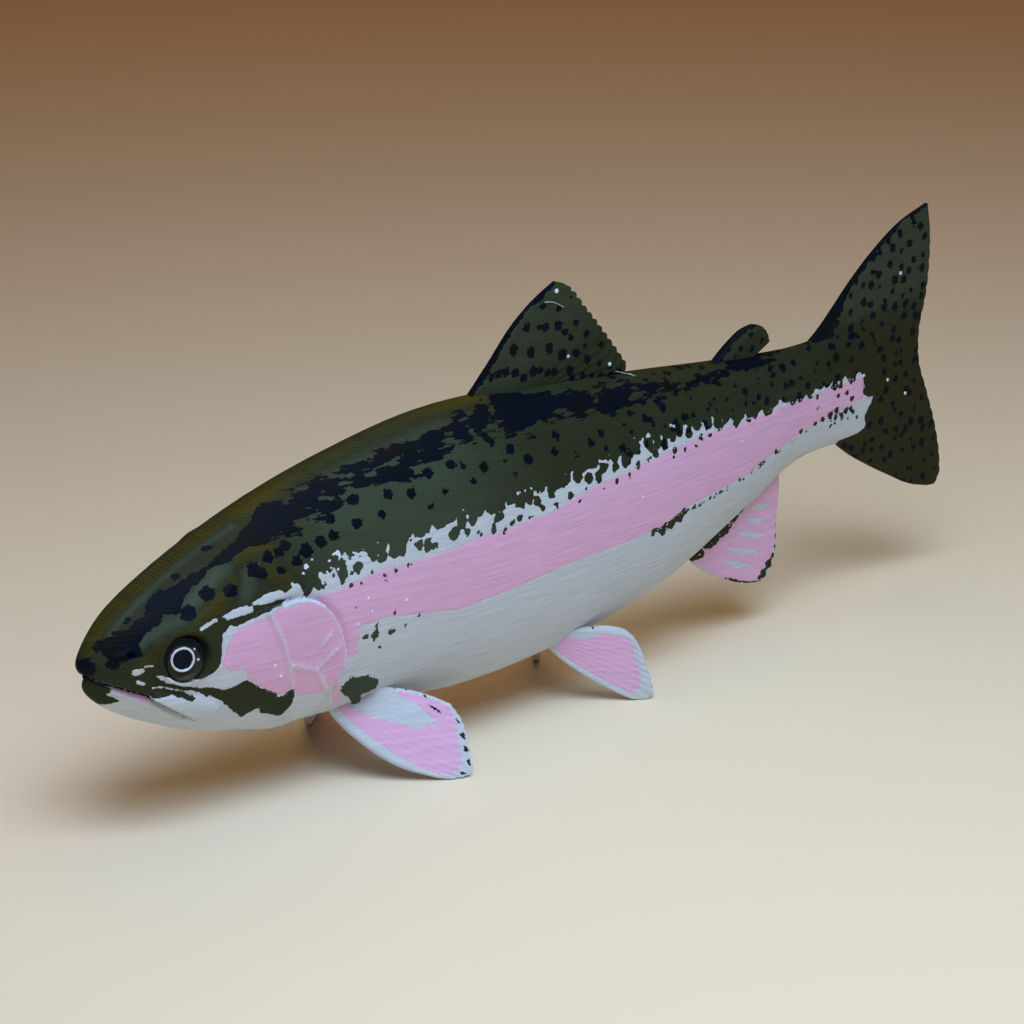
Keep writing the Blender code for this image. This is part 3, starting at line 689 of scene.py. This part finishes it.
oliveFins = {
    # spots by station, height and radius in mm, or how far apart they are strewn and their smallest and
    # largest radius; the navy strip on the leading edge in mm, near the root and beyond; olive's tint at
    # the front and the rear
    "dorsal": {
        "spots": ((436, 120, 0.6), (444, 121, 0.75), (452, 120, 0.8), (463, 117, 0.85), (471, 110, 0.75),
            (483, 113, 0.9), (491, 112, 0.7), (499, 108, 0.65), (507, 106, 0.75), (525, 103, 0.8),
            (527, 96, 0.7), (539, 95, 0.6), (550, 92, 0.5), (462, 137, 1.0), (481, 130, 0.95),
            (502, 128, 0.95), (517, 119, 1.0), (533, 116, 0.85), (546, 108, 0.8), (560, 100, 0.6),
            (572, 94, 0.5), (478, 152, 0.85), (492, 149, 0.55), (499, 147, 0.75), (514, 145, 0.9),
            (521, 137, 0.7), (528, 131, 0.7), (534, 143, 0.65), (546, 130, 0.7), (563, 116, 0.6),
            # the last three spots, low at the fin's rear base, are navy painted as shade where the fin meets
            # the back
            (544, 119, 0.5), (497, 166, 0.65), (515, 160, 0.7), (530, 165, 0.4), (560, 88, 0.8),
            (572, 86, 0.9), (582, 86, 0.8)),
        "strip": (0.55, 0.3), "tint": (-0.35, 0.0), "rear": 0.25,
    },
    "adipose": {
        "spots": ((743, 80, 0.55), (729, 71, 0.55), (757, 72, 0.5), (743, 68, 0.6), (722, 66, 0.45)),
        "strip": (0.8, 0.4), "tint": (-0.2, 0.2), "rear": 0.6,
    },
    "tail": {
        "strewn": (14, 0.5, 0.85), "seed": 11, "strip": (3.0, 0.35), "tint": (0, 0), "rear": 0.9,
    },
}
spotStray = 5                 # thousandths, each way, for the spots that are strewn


def paintOliveFin(name, r, v, flat):
    look = oliveFins[name]
    across, up = inMm(flat).T
    centres = list(look.get("spots", ()))
    if "strewn" in look:
        chance = np.random.default_rng(look["seed"])
        apart, smallest, largest = look["strewn"]
        for s in np.arange(flat[:, 0].min(), flat[:, 0].max(), apart):
            for z in np.arange(flat[:, 1].min(), flat[:, 1].max(), apart):
                centres.append((s + chance.uniform(-spotStray, spotStray),
                                z + chance.uniform(-spotStray, spotStray), chance.uniform(smallest, largest)))
    start = finSheet(fins[name], np.zeros(1), np.zeros(1))[0]
    lead = readPath([start] + list(fins[name]["lead"]), np.linspace(0, 1, 14))
    wide, narrow = look["strip"]
    front, back = look["tint"]
    return {"olive": farAway, "navySpots": inSpots(across, up, centres), "rear": look["rear"],
            "navy": wide + (narrow - wide) * ramp(r, 0.05, 0.42) - toLine(across, up, lead),
            "tint": tailTint(up) if name == "tail" else front + (back - front) * ramp(v, 0.2, 0.7)}


paleFins = {
    # length and width in thousandths; pale rims on the leading, outer and rear edges in mm; a pale wedge
    # or pale streaks; olive dots with their radius, and a dash with half its width
    "pectoral": {
        "size": (128, 70), "rims": (2.0, 1.9, 0.7), "from": 14,
        "wedge": ((0, 22), (0, 80), (44, 80), (56, 63), (98, 50), (82, 40), (40, 30)),
        "dots": ((124, 20, 0.4), (125, 29, 0.35), (124, 37, 0.45), (124, 46, 0.5), (122, 55, 0.35),
            (20, 70, 0.3), (36, 71, 0.35), (52, 70, 0.3), (66, 70, 0.3), (90, 68, 0.3)),
        "dashes": ((92, 60), (104, 57)), "dash": 0.22,
    },
    "pelvic": {
        "size": (105, 52), "rims": (1.5, 2.5, 1.0), "from": 12,
        "wedge": ((0, 34), (0, 60), (30, 60), (50, 46), (32, 37)),
        "dots": ((4, 51, 0.4), (9, 51, 0.35), (15, 51, 0.3), (22, 52, 0.25), (44, 52, 0.25)),
        "dashes": ((6, 8), (10, 40)), "dash": 0.3,
    },
    "anal": {
        "size": (82, 100), "rims": (0.2, 0.7, 0.2), "from": 9,
        "dots": ((4, 3, 1.2), (8, 7, 0.9), (5, 20, 1.4), (8, 24, 0.8), (6, 34, 1.4), (8, 39, 0.7),
            (5, 47, 1.0), (4, 56, 0.7), (3, 66, 0.5), (3, 78, 0.4), (3, 96, 0.6), (77, 10, 0.9),
            (76, 17, 0.8), (78, 25, 0.9), (80, 34, 0.6), (81, 44, 0.45), (81, 56, 0.45), (81, 68, 0.4),
            (81, 80, 0.4), (81, 92, 0.4)),
        "dashes": ((46, 1), (80, 2)), "dash": 0.28,
        "streaks": (((740, -79), (764, -84)), ((732, -88), (758, -96)), ((721, -98), (756, -109)),
            ((708, -108), (747, -124)), ((705, -120), (736, -133))),
    },
}
paleEdge = {"ribs": 0.35, "speckle": 0.5, "seed": 2}      # mm that the pink's rim waves and its wedge frays


def paintPaleFin(name, r, v, flat):
    look = paleFins[name]
    length, width = look["size"]
    along, across = inMm(r * length), inMm(v * width)
    lead, tip, rear = look["rims"]
    ribs = paleEdge["ribs"] * np.cos(2 * math.pi * fins[name]["rays"] * v)
    pink = np.min((across - lead, inMm(width) - across - rear, inMm(length) - along - tip + ribs,
                   along - inMm(look["from"])), axis=0)
    # the pale wedge and streaks have a speckled edge
    chance = np.random.default_rng(paleEdge["seed"])
    speckle = chance.uniform(-paleEdge["speckle"], paleEdge["speckle"], r.shape)
    if "wedge" in look:
        pink = np.minimum(pink, speckle - inOutline(along, across, look["wedge"]))
    place = inMm(flat)
    for line in look.get("streaks", ()):
        a, b = inMm(line)
        share = np.clip(((place - a) @ (b - a)) / ((b - a) @ (b - a)), 0, 1)
        away = np.hypot(*(place - a - share[:, None] * (b - a)).T)
        # about a millimetre wide in the middle, and narrower at the ends
        pink = np.minimum(pink, away + 0.4 * speckle - 0.5 * np.sin(math.pi * (0.12 + 0.76 * share)))
    dash = look["dash"] - toLine(along, across, look["dashes"])
    return {"pink": pink, "oliveSpots": np.maximum(dash, inSpots(along, across, look["dots"]))}


trout = makeBody()
print("body shaped")
parts = [makeFin("dorsal", 1, paintOliveFin), makeFin("adipose", 1, paintOliveFin),
         makeFin("tail", 1, paintOliveFin), makeFin("anal", 1, paintPaleFin)]
for side in (1, -1):
    for name in ("pectoral", "pelvic"):
        parts.append(makeFin(name, side, paintPaleFin))
print("fins shaped")

beads = {                     # small drops that the nozzle leaves
    # on both flanks: station, height, radius in mm
    "flank": ((180, -7, 0.4), (152, -33, 0.33), (158, -44, 0.33), (234, -22, 0.28), (284, -16, 0.36),
        (245, -3, 0.3), (248, -15, 0.22), (560, -8, 0.3), (700, 0, 0.25), (884, 8, 0.3)),
    # on the fins: station, height, radius and how far out, in mm
    "fins": ((513, 175, 0.42, 0.62), (523, 116, 0.3, 0.72), (571, 97, 0.36, 0.62), (939, 90, 0.36, 0.55),
        (920, -6, 0.3, 0.62), (944, -25, 0.33, 0.55)),
    "squash": 0.6,            # flattened against the skin
}
threads = {                   # fine strings drawn out between moves, each from start to end by its middle
    "thickness": 0.1,         # mm
    "lines": (((206, -6, -102), (209, -4, -112), (206, -2, -121)),
              ((180, -8, -103), (184, -7, -111), (187, -5, -108)),
              ((498, -4.2, 169), (508, -4.4, 168), (519, -4.2, 160)),
              ((576, -5, 90), (600, -9, 80), (622, -12, 70)),
              ((590, -7, 85), (603, -12, 74), (600, -15, 66))),
}

clear()
bpy.ops.mesh.primitive_ico_sphere_add(subdivisions=2, radius=1)
drop = bpy.context.object
dropShape = corners(drop) * (1, beads["squash"], 1)
paint(drop, {**bare, "pale": farAway})


def addBead(place, radius):
    bead = drop.copy()
    bead.data = drop.data.copy()
    bpy.context.collection.objects.link(bead)
    moveTo(bead, toFloorFrame(place + dropShape * radius))
    parts.append(bead)


for side in (1, -1):
    for s, z, radius in beads["flank"]:
        addBead(onFlank(s, z) * (1, side, 1), radius)
for s, z, radius, out in beads["fins"]:
    addBead(inMm((s, 0, z)) - (0, out, 0), radius)
bpy.data.objects.remove(drop)

for line in threads["lines"]:
    clear()
    bpy.ops.curve.primitive_nurbs_path_add()
    thread = bpy.context.object
    start, middle, end = np.array(line, float)
    run = toFloorFrame(inMm((start, (start + middle) / 2, middle, (middle + end) / 2, end)))
    for point, at in zip(thread.data.splines[0].points, run):
        point.co = (*at, 1)
    thread.data.bevel_depth = threads["thickness"] / 2000
    thread.data.bevel_resolution = 1
    thread.data.use_fill_caps = True
    bpy.ops.object.convert(target="MESH")
    thread = bpy.context.object
    paint(thread, {**bare, "pale": farAway})
    parts.append(thread)
print("beads and threads laid")

pick(trout)
for part in parts:
    part.select_set(True)
bpy.ops.object.join()
print("skin joined,", sum(len(p.vertices) - 2 for p in trout.data.polygons), "triangles")
bpy.ops.object.shade_smooth_by_angle(angle=math.radians(38))
onFloor = corners(trout)
onFloor[:, 2] = np.maximum(onFloor[:, 2], 0)       # fin tips rest on the floor, cut flat
moveTo(trout, onFloor)


# eyes: a dish in the socket, a white ring of one printed bead, a navy pupil and two painted glints

eyeLook = {
    "centre": (72.5, 36.8, -6), "radius": 3.55, "gaze": (20, 6),   # mm; degrees ahead of sideways, and up
    "pupil": 1.52, "ring": 1.88,                          # their outer radii
    "profile": ((0, 0.92), (1.0, 0.9), (1.34, 0.82), (1.46, 0.62), (1.52, 0.86), (1.7, 0.98), (1.86, 0.86),
                (1.96, 0.5), (2.4, 0.42), (2.7, 0.5), (2.95, 0.7), (3.15, 0.86), (3.35, 0.72), (3.55, 0.3)),
    "back": (0.3, 1.4),                                   # height of its rim, and how deep it is behind
    "crescent": (0.35, -0.75, 2.6, 0.25),     # navy outside this circle: across, up, radius; and off the ring
    "glints": ((2.05, 1.15, 0.17), (2.45, -0.5, 0.2)),    # painted glints: towards the tail, up, radius
    # the colours' edges: grains to the mm, how far they wander and where they lie, mm
    "grain": (1.4, 1.4, 1.8), "wander": 0.16, "edge": (0.05, 0.11),
    "roughness": 0.36, "specular": 0.15, "layerDepth": 0.00001,
}


def makeEye(name, side):
    clear()
    bpy.ops.mesh.primitive_uv_sphere_add(segments=96, ring_count=96, radius=1)
    piece = bpy.context.object
    piece.name = piece.data.name = name
    # the front half of the ball becomes the dish, the other half its back
    ball = corners(piece)
    polar = np.arccos(np.clip(ball[:, 2], -1, 1)) / (math.pi / 2)
    front = polar <= 1.0001
    radius = np.where(front, polar, 2 - polar) * eyeLook["radius"]
    turn = np.arctan2(ball[:, 1], ball[:, 0])
    rim, behind = eyeLook["back"]
    up = np.where(front, np.interp(radius, *np.array(eyeLook["profile"]).T),
                  rim - behind * np.sqrt(np.clip(1 - (radius / eyeLook["radius"]) ** 2, 0, 1)))
    across, over = radius * np.cos(turn), radius * np.sin(turn)
    ahead, lift = (math.radians(a) for a in eyeLook["gaze"])
    gaze = Vector((-math.sin(ahead), -side * math.cos(ahead), math.sin(lift)))
    turned = np.array(gaze.to_track_quat("Z", "Y").to_matrix())
    centre = inMm(np.array(eyeLook["centre"]) * (1, -side, 1))
    moveTo(piece, toFloorFrame(np.stack((across, over, up), -1) @ turned.T + centre))
    aft, high, wide, off = eyeLook["crescent"]
    crescent = np.minimum(np.hypot(across - side * aft, over - high) - wide, radius - eyeLook["ring"] - off)
    glint = np.max([size - np.hypot(across - side * s, over - z) for s, z, size in eyeLook["glints"]], axis=0)
    paint(piece, {"ring": np.where(front, radius, eyeLook["radius"]), "crescent": crescent,
                  "glint": np.where(front, glint, -farAway)})
    closeUp(piece)
    pick(piece)
    bpy.ops.object.shade_smooth_by_angle(angle=math.radians(60))
    return piece


eyes = {"eye_left": makeEye("eyeLeft", 1), "eye_right": makeEye("eyeRight", -1)}
print("eyes shaped")


# materials

def linear(code):
    # sRGB hex to linear
    shares = [int(code[i:i + 2], 16) / 255 for i in (1, 3, 5)]
    return (*[c / 12.92 if c <= 0.04045 else ((c + 0.055) / 1.055) ** 2.4 for c in shares], 1)


def plug(tree, node, inputs):
    # sets or links a node's inputs, by name or in order
    named = inputs if isinstance(inputs, dict) else dict(enumerate(inputs))
    for key, value in named.items():
        if isinstance(value, bpy.types.NodeSocket):
            tree.links.new(value, node.inputs[key])
        else:
            node.inputs[key].default_value = value


def add(tree, kind, inputs=(), output=0, **settings):
    # one node with its settings and links; gives back one of its outputs
    node = tree.nodes.new("ShaderNode" + kind)
    for name, value in settings.items():
        setattr(node, name, value)
    plug(tree, node, inputs)
    return node.outputs[output]


def startMaterial(name):
    made = bpy.data.materials.new(name)
    made.use_nodes = True
    return made, made.node_tree, made.node_tree.nodes["Principled BSDF"]


pla = {
    # the four filaments, the painted sheen that olive takes, warm on ridges and cool in hollows, and the
    # shades they take where they lie thin
    "colours": {"cream": "#cbd1d8", "pale": "#dfe4ee", "pink": "#e7b4d7", "navy": "#08101d",
                "soot": "#11120f", "olive": "#2f3322", "coolSheen": "#4a5646", "warmSheen": "#48400f",
                "rear": "#2a2814"},
    # wandering of the colours' edges; size along, across and up in mm, and detail
    "grain": {"fine": ((0.7, 0.7, 0.6), 1), "bead": ((0.55, 0.55, 0.42), 1), "drops": ((1.5, 1.5, 1.3), 1),
              "hatch": ((3.2, 3.2, 0.5), 3), "patch": ((3.6, 3.6, 1.6), 3), "layer": ((9.0, 9.0, 0.45), 2),
              "cloud": ((6.0, 6.0, 4.0), 2)},
    "cells": (2.2, 2.5),      # mm along and up from one olive drop to the next
    # how far each grain carries an edge, in mm or by the piece's own field
    "edges": {"olive": (("cells", "ragged"), ("drops", "ragged"), ("fine", 0.1)), "pink": (("bead", 0.18),),
              "navy": (("hatch", "loose"), ("patch", "loose"), ("fine", 0.15)),
              "navySpots": (("hatch", 0.14), ("fine", 0.18)), "oliveSpots": (("fine", 0.16),),
              "pale": (("fine", 0.1),)},
    "share": {"cells": 0.8, "drops": 0.6, "hatch": 0.65, "patch": 0.95},     # of the field's own wander
    # lines along a field: colour, field, the depth they follow and half their width in mm
    # the slit line is navy painted as shade inside the mouth
    "lines": (("slit", "lip", 0.0, 0.22), ("pale", "lip", 0.36, 0.12), ("pale", "cover", 0.12, 0.2)),
    "lineWander": 0.07,
    "pinkBeads": (0.42, -0.2),                    # reach and start of the pale beads on the pink's edges, mm
    "tintWander": (("layer", 0.12), ("cloud", 0.07)),
    "softEdge": 0.04,         # mm each way over which one colour gives way to the next
    # a value's range and what it turns to
    "crestHighlight": (0.05, 0.6, 0.55, 0.0), "thin": (-0.1, 0.7, 0.0, 0.85), "spotRough": (0.0, 0.5, 0.0, 0.09),
    "crease": (0.0, 0.16, -0.045, 0.0),
    "layer": 0.3,             # mm; really 0.2, drawn coarser so that it shows
    "layerDepth": 0.0045, "terrace": 0.06,        # mm, on upright walls and on nearly level ones
    "levelPower": 4.0,        # how sharply the terraces keep to the nearly level parts
    "unevenLayers": 0.016,    # mm
    "unevenTone": 0.07, "unevenGloss": 0.06,
    "roughness": 0.5, "ior": 1.46, "specular": 0.07,
}
colour = {name: linear(code) for name, code in pla["colours"].items()}


def levelLines(tree, place):
    # the printer's level lines, one wave to a layer
    up = add(tree, "SeparateXYZ", (place,), "Z")
    turns = add(tree, "Math", (up, 2 * math.pi * 1000 / pla["layer"]), operation="MULTIPLY")
    return add(tree, "Math", (turns,), operation="SINE")


def printedPla():
    # four-colour PLA extruded in layers: satin, with fine level lines and a crease where colours meet
    made, tree, shader = startMaterial("extrudedPlaFourColours")
    place = add(tree, "TexCoord", output="Object")
    field = {name: add(tree, "Attribute", output="Fac", attribute_name=name) for name in bare}
    grain = {}
    for name, (size, detail) in pla["grain"].items():
        scaled = add(tree, "Mapping", {"Vector": place, "Scale": [1000 / k for k in size]})
        cloud = add(tree, "TexNoise", {"Vector": scaled, "Scale": 1.0, "Detail": detail, "Roughness": 0.55})
        grain[name] = add(tree, "MapRange", (cloud, 0.3, 0.7, -1.0, 1.0))
    apart, apartUp = pla["cells"]
    scaled = add(tree, "Mapping", {"Vector": place, "Scale": (1000 / apart, 1, 1000 / apartUp),
                                   "Rotation": (math.pi / 2, 0, 0)})
    cells = add(tree, "TexVoronoi", {"Vector": scaled, "Scale": 1.0, "Randomness": 0.8}, "Distance",
                voronoi_dimensions="2D")
    grain["cells"] = add(tree, "MapRange", (cells, 0.15, 0.62, 1.0, -1.0))
    # each colour's depth, with its edge made to wander
    edge = {}
    for name, wander in pla["edges"].items():
        edge[name] = field[name]
        for noise, amount in wander:
            if isinstance(amount, str):
                amount = add(tree, "Math", (field[amount], pla["share"][noise]), operation="MULTIPLY")
            edge[name] = add(tree, "Math", (grain[noise], amount, edge[name]), operation="MULTIPLY_ADD")
    for name in ("olive", "navy"):
        edge[name] = add(tree, "Math", (edge[name], edge[name + "Spots"]), operation="MAXIMUM")
    # the mouth's slit gets painted shade inside, in navy, with a pale line over it, and the gill cover has a
    # pale rim
    for name, along, middle, width in pla["lines"]:
        off = add(tree, "Math", (field[along], middle), operation="SUBTRACT")
        off = add(tree, "Math", (off,), operation="ABSOLUTE")
        line = add(tree, "Math", (width, off), operation="SUBTRACT")
        line = add(tree, "Math", (grain["bead"], pla["lineWander"], line), operation="MULTIPLY_ADD")
        edge[name] = add(tree, "Math", (edge.get(name, -farAway), line), operation="MAXIMUM")
    # small pale beads along the pink's edges
    fromPink = add(tree, "Math", (edge["pink"],), operation="ABSOLUTE")
    beadLine = add(tree, "Math", (grain["bead"], *pla["pinkBeads"]), operation="MULTIPLY_ADD")
    beadLine = add(tree, "Math", (beadLine, fromPink), operation="SUBTRACT")
    edge["pale"] = add(tree, "Math", (edge["pale"], beadLine), operation="MAXIMUM")
    # painted sheen: olive turns warm brown on the ridges and cool green in the hollows, and the tail leans to
    # brown as well
    tint = field["tint"]
    for noise, amount in pla["tintWander"]:
        tint = add(tree, "Math", (grain[noise], amount, tint), operation="MULTIPLY_ADD")
    coolSheen, warmSheen = (add(tree, "Math", (tint, sign), operation="MULTIPLY", use_clamp=True)
                  for sign in (-1.0, 1.0))
    # raised lines on the cheek get a painted highlight, pink turned pale along them, and where the navy is
    # thin the olive under it turns it sooty
    crestHighlight = add(tree, "MapRange", (field["crestHighlight"], *pla["crestHighlight"]))
    thin = add(tree, "MapRange", (grain["cloud"], *pla["thin"]))
    # a mix's colours are its inputs 6 and 7 and its output 2
    pink, olive, warmth, navy = (
        add(tree, "Mix", {0: amount, 6: colour[plain], 7: colour[leaning]}, 2, data_type="RGBA")
        for amount, plain, leaning in ((crestHighlight, "pink", "pale"), (coolSheen, "olive", "coolSheen"),
                                       (field["rear"], "warmSheen", "rear"), (thin, "navy", "soot")))
    olive = add(tree, "Mix", {0: warmSheen, 6: olive, 7: warmth}, 2, data_type="RGBA")
    covers = {"pink": pink, "olive": olive, "navy": navy, "pale": colour["pale"], "slit": colour["navy"]}
    soft = pla["softEdge"]
    inside = {name: add(tree, "MapRange", (edge[name], -soft, soft)) for name in covers}
    inside["navy"] = add(tree, "Math", (inside["navy"], inside["olive"]), operation="MULTIPLY")
    look = colour["cream"]
    for name, cover in covers.items():
        look = add(tree, "Mix", {0: inside[name], 6: look, 7: cover}, 2, data_type="RGBA")
    # a little uneven light and dark, and gloss, from layer to layer
    uneven = pla["unevenTone"]
    tone = add(tree, "MapRange", (grain["layer"], -1.0, 1.0, 1 - uneven, 1 + uneven))
    look = add(tree, "VectorMath", {0: look, "Scale": tone}, operation="SCALE")
    glossiest, dullest = (pla["roughness"] + sign * pla["unevenGloss"] for sign in (-1, 1))
    roughness = add(tree, "MapRange", (grain["layer"], -1.0, 1.0, glossiest, dullest))
    # level lines, deeper where the skin lies nearly level, and creases at the colour joins
    level = add(tree, "SeparateXYZ", (add(tree, "NewGeometry", output="Normal"),), "Z")
    level = add(tree, "Math", (level,), operation="ABSOLUTE")
    level = add(tree, "Math", (level, pla["levelPower"]), operation="POWER")
    depth = add(tree, "Math", (level, pla["terrace"], pla["layerDepth"]), operation="MULTIPLY_ADD")
    height = add(tree, "Math", (levelLines(tree, place), depth), operation="MULTIPLY")
    rough = add(tree, "MapRange", (edge["oliveSpots"], *pla["spotRough"]))
    height = add(tree, "Math", (grain["fine"], rough, height), operation="MULTIPLY_ADD")
    height = add(tree, "Math", (grain["layer"], pla["unevenLayers"], height), operation="MULTIPLY_ADD")
    for name in ("olive", "pink", "navy"):
        away = add(tree, "Math", (edge[name],), operation="ABSOLUTE")
        crease = add(tree, "MapRange", (away, *pla["crease"]))
        height = add(tree, "Math", (height, crease), operation="ADD")
    plug(tree, shader, {"Base Color": look, "Roughness": roughness, "IOR": pla["ior"],
                        "Specular IOR Level": pla["specular"],
                        "Normal": add(tree, "Bump", {"Height": height, "Distance": 0.001})})
    return made


def eyePla():
    # the same filaments, with the ring laid as one round bead and two glints painted pale
    made, tree, shader = startMaterial("extrudedPlaEye")
    place = add(tree, "TexCoord", output="Object")
    ring, crescent, glint = (add(tree, "Attribute", output="Fac", attribute_name=name)
                             for name in ("ring", "crescent", "glint"))
    steps = [(crescent, colour["navy"])]
    for low, high, cover in ((-1.0, eyeLook["pupil"], "navy"), (eyeLook["pupil"], eyeLook["ring"], "pale")):
        inner = add(tree, "Math", (ring, low), operation="SUBTRACT")
        outer = add(tree, "Math", (high, ring), operation="SUBTRACT")
        steps.append((add(tree, "Math", (inner, outer), operation="MINIMUM"), colour[cover]))
    # two painted glints
    steps.append((glint, colour["pale"]))
    scaled = add(tree, "Mapping", {"Vector": place, "Scale": [1000 * k for k in eyeLook["grain"]]})
    wobble = add(tree, "TexNoise", {"Vector": scaled, "Scale": 1.0, "Detail": 1.0})
    look = colour["olive"]
    for depth, cover in steps:
        depth = add(tree, "Math", (wobble, eyeLook["wander"], depth), operation="MULTIPLY_ADD")
        mask = add(tree, "MapRange", (depth, *eyeLook["edge"]))
        look = add(tree, "Mix", {0: mask, 6: look, 7: cover}, 2, data_type="RGBA")
    bump = add(tree, "Bump", {"Height": levelLines(tree, place), "Distance": eyeLook["layerDepth"]})
    plug(tree, shader, {"Base Color": look, "Roughness": eyeLook["roughness"], "IOR": pla["ior"],
                        "Specular IOR Level": eyeLook["specular"], "Normal": bump})
    return made


skinFinish, eyeFinish = printedPla(), eyePla()
for piece, finish in ((trout, skinFinish), *((eye, eyeFinish) for eye in eyes.values())):
    piece.data.materials.clear()
    piece.data.materials.append(finish)

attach(trout, "root")
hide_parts("head", "lower_jaw", "gill_cover_left", "gill_cover_right", "trunk", "tail_stalk",
            "tail_fin", "dorsal_fin", "adipose_fin", "anal_fin", "pectoral_fin_left", "pectoral_fin_right",
            "pelvic_fin_left", "pelvic_fin_right")
for node, eye in eyes.items():
    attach(eye, "root")
    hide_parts(node)
print("pieces finished")


# floor, lights and camera

floorCard = {"size": 4, "top": -0.0001, "colour": "#f7e4c5", "roughness": 0.75}      # metres

clear()
bpy.ops.mesh.primitive_plane_add(size=floorCard["size"], location=(0, 0, floorCard["top"]))
floor = bpy.context.object
floor.name = "floor"
card, tree, shader = startMaterial("matteCard")      # plain pale card, no grain to see at this size
plug(tree, shader, {"Base Color": linear(floorCard["colour"]), "Roughness": floorCard["roughness"]})
floor.data.materials.append(card)

studio = {                    # places and sizes in metres, power in watts, spread in degrees
    "softbox": {"at": (-0.2, -0.35, 0.6), "aim": (-0.1, -0.19, 0), "size": 0.5, "power": 1.8,
                "colour": "#cbdbff", "spread": 95},
    "ceiling": {"at": (0.35, 0.42, 0.9), "aim": (0, 0, 0.02), "size": 1.0, "power": 1.95,
                "colour": "#ffb34a", "spread": 180},
    "panel": {"at": (0, -0.1, 0.3), "aim": (0, 0, 0.02), "size": 0.4, "power": 0.31,
              "colour": "#ccfff0", "spread": 180},
}
worldLight = ("#f4e6d0", 0.01)      # colour, strength
for name, lamp in studio.items():
    bpy.ops.object.light_add(type="AREA", location=lamp["at"])
    light = bpy.context.object
    light.name = name
    light.data.size = lamp["size"]
    light.data.energy = lamp["power"]
    light.data.color = linear(lamp["colour"])[:3]
    light.data.spread = math.radians(lamp["spread"])
    light.rotation_euler = (Vector(lamp["aim"]) - Vector(lamp["at"])).to_track_quat("-Z", "Y").to_euler()
world = bpy.data.worlds.new("studio")
world.use_nodes = True
plug(world.node_tree, world.node_tree.nodes["Background"], (linear(worldLight[0]), worldLight[1]))
bpy.context.scene.world = world
bpy.context.scene.view_settings.view_transform = "Standard"

view = {                      # degrees, mm; how far away and its target in thousandths of the fish
    "azimuth": -43.4, "elevation": 17.9, "lens": 140.625, "away": 3320, "target": (455, 22),
}
side, tip = math.radians(view["azimuth"]), math.radians(view["elevation"])
back = Vector((math.sin(side) * math.cos(tip), -math.cos(side) * math.cos(tip), math.sin(tip)))
ahead, up = inMm(view["target"])
target = Vector((fish["snoutX"] + ahead, 0, fish["axisHeight"] + up)) / 1000
bpy.ops.object.camera_add(location=target + back * inMm(view["away"]) / 1000)
camera = bpy.context.object
camera.rotation_euler = (-back).to_track_quat("-Z", "Y").to_euler()
camera.data.lens = view["lens"]
camera.data.sensor_width = 36
camera.data.clip_start = 0.01
camera.data.clip_end = 20
bpy.context.scene.camera = camera
print("studio set")
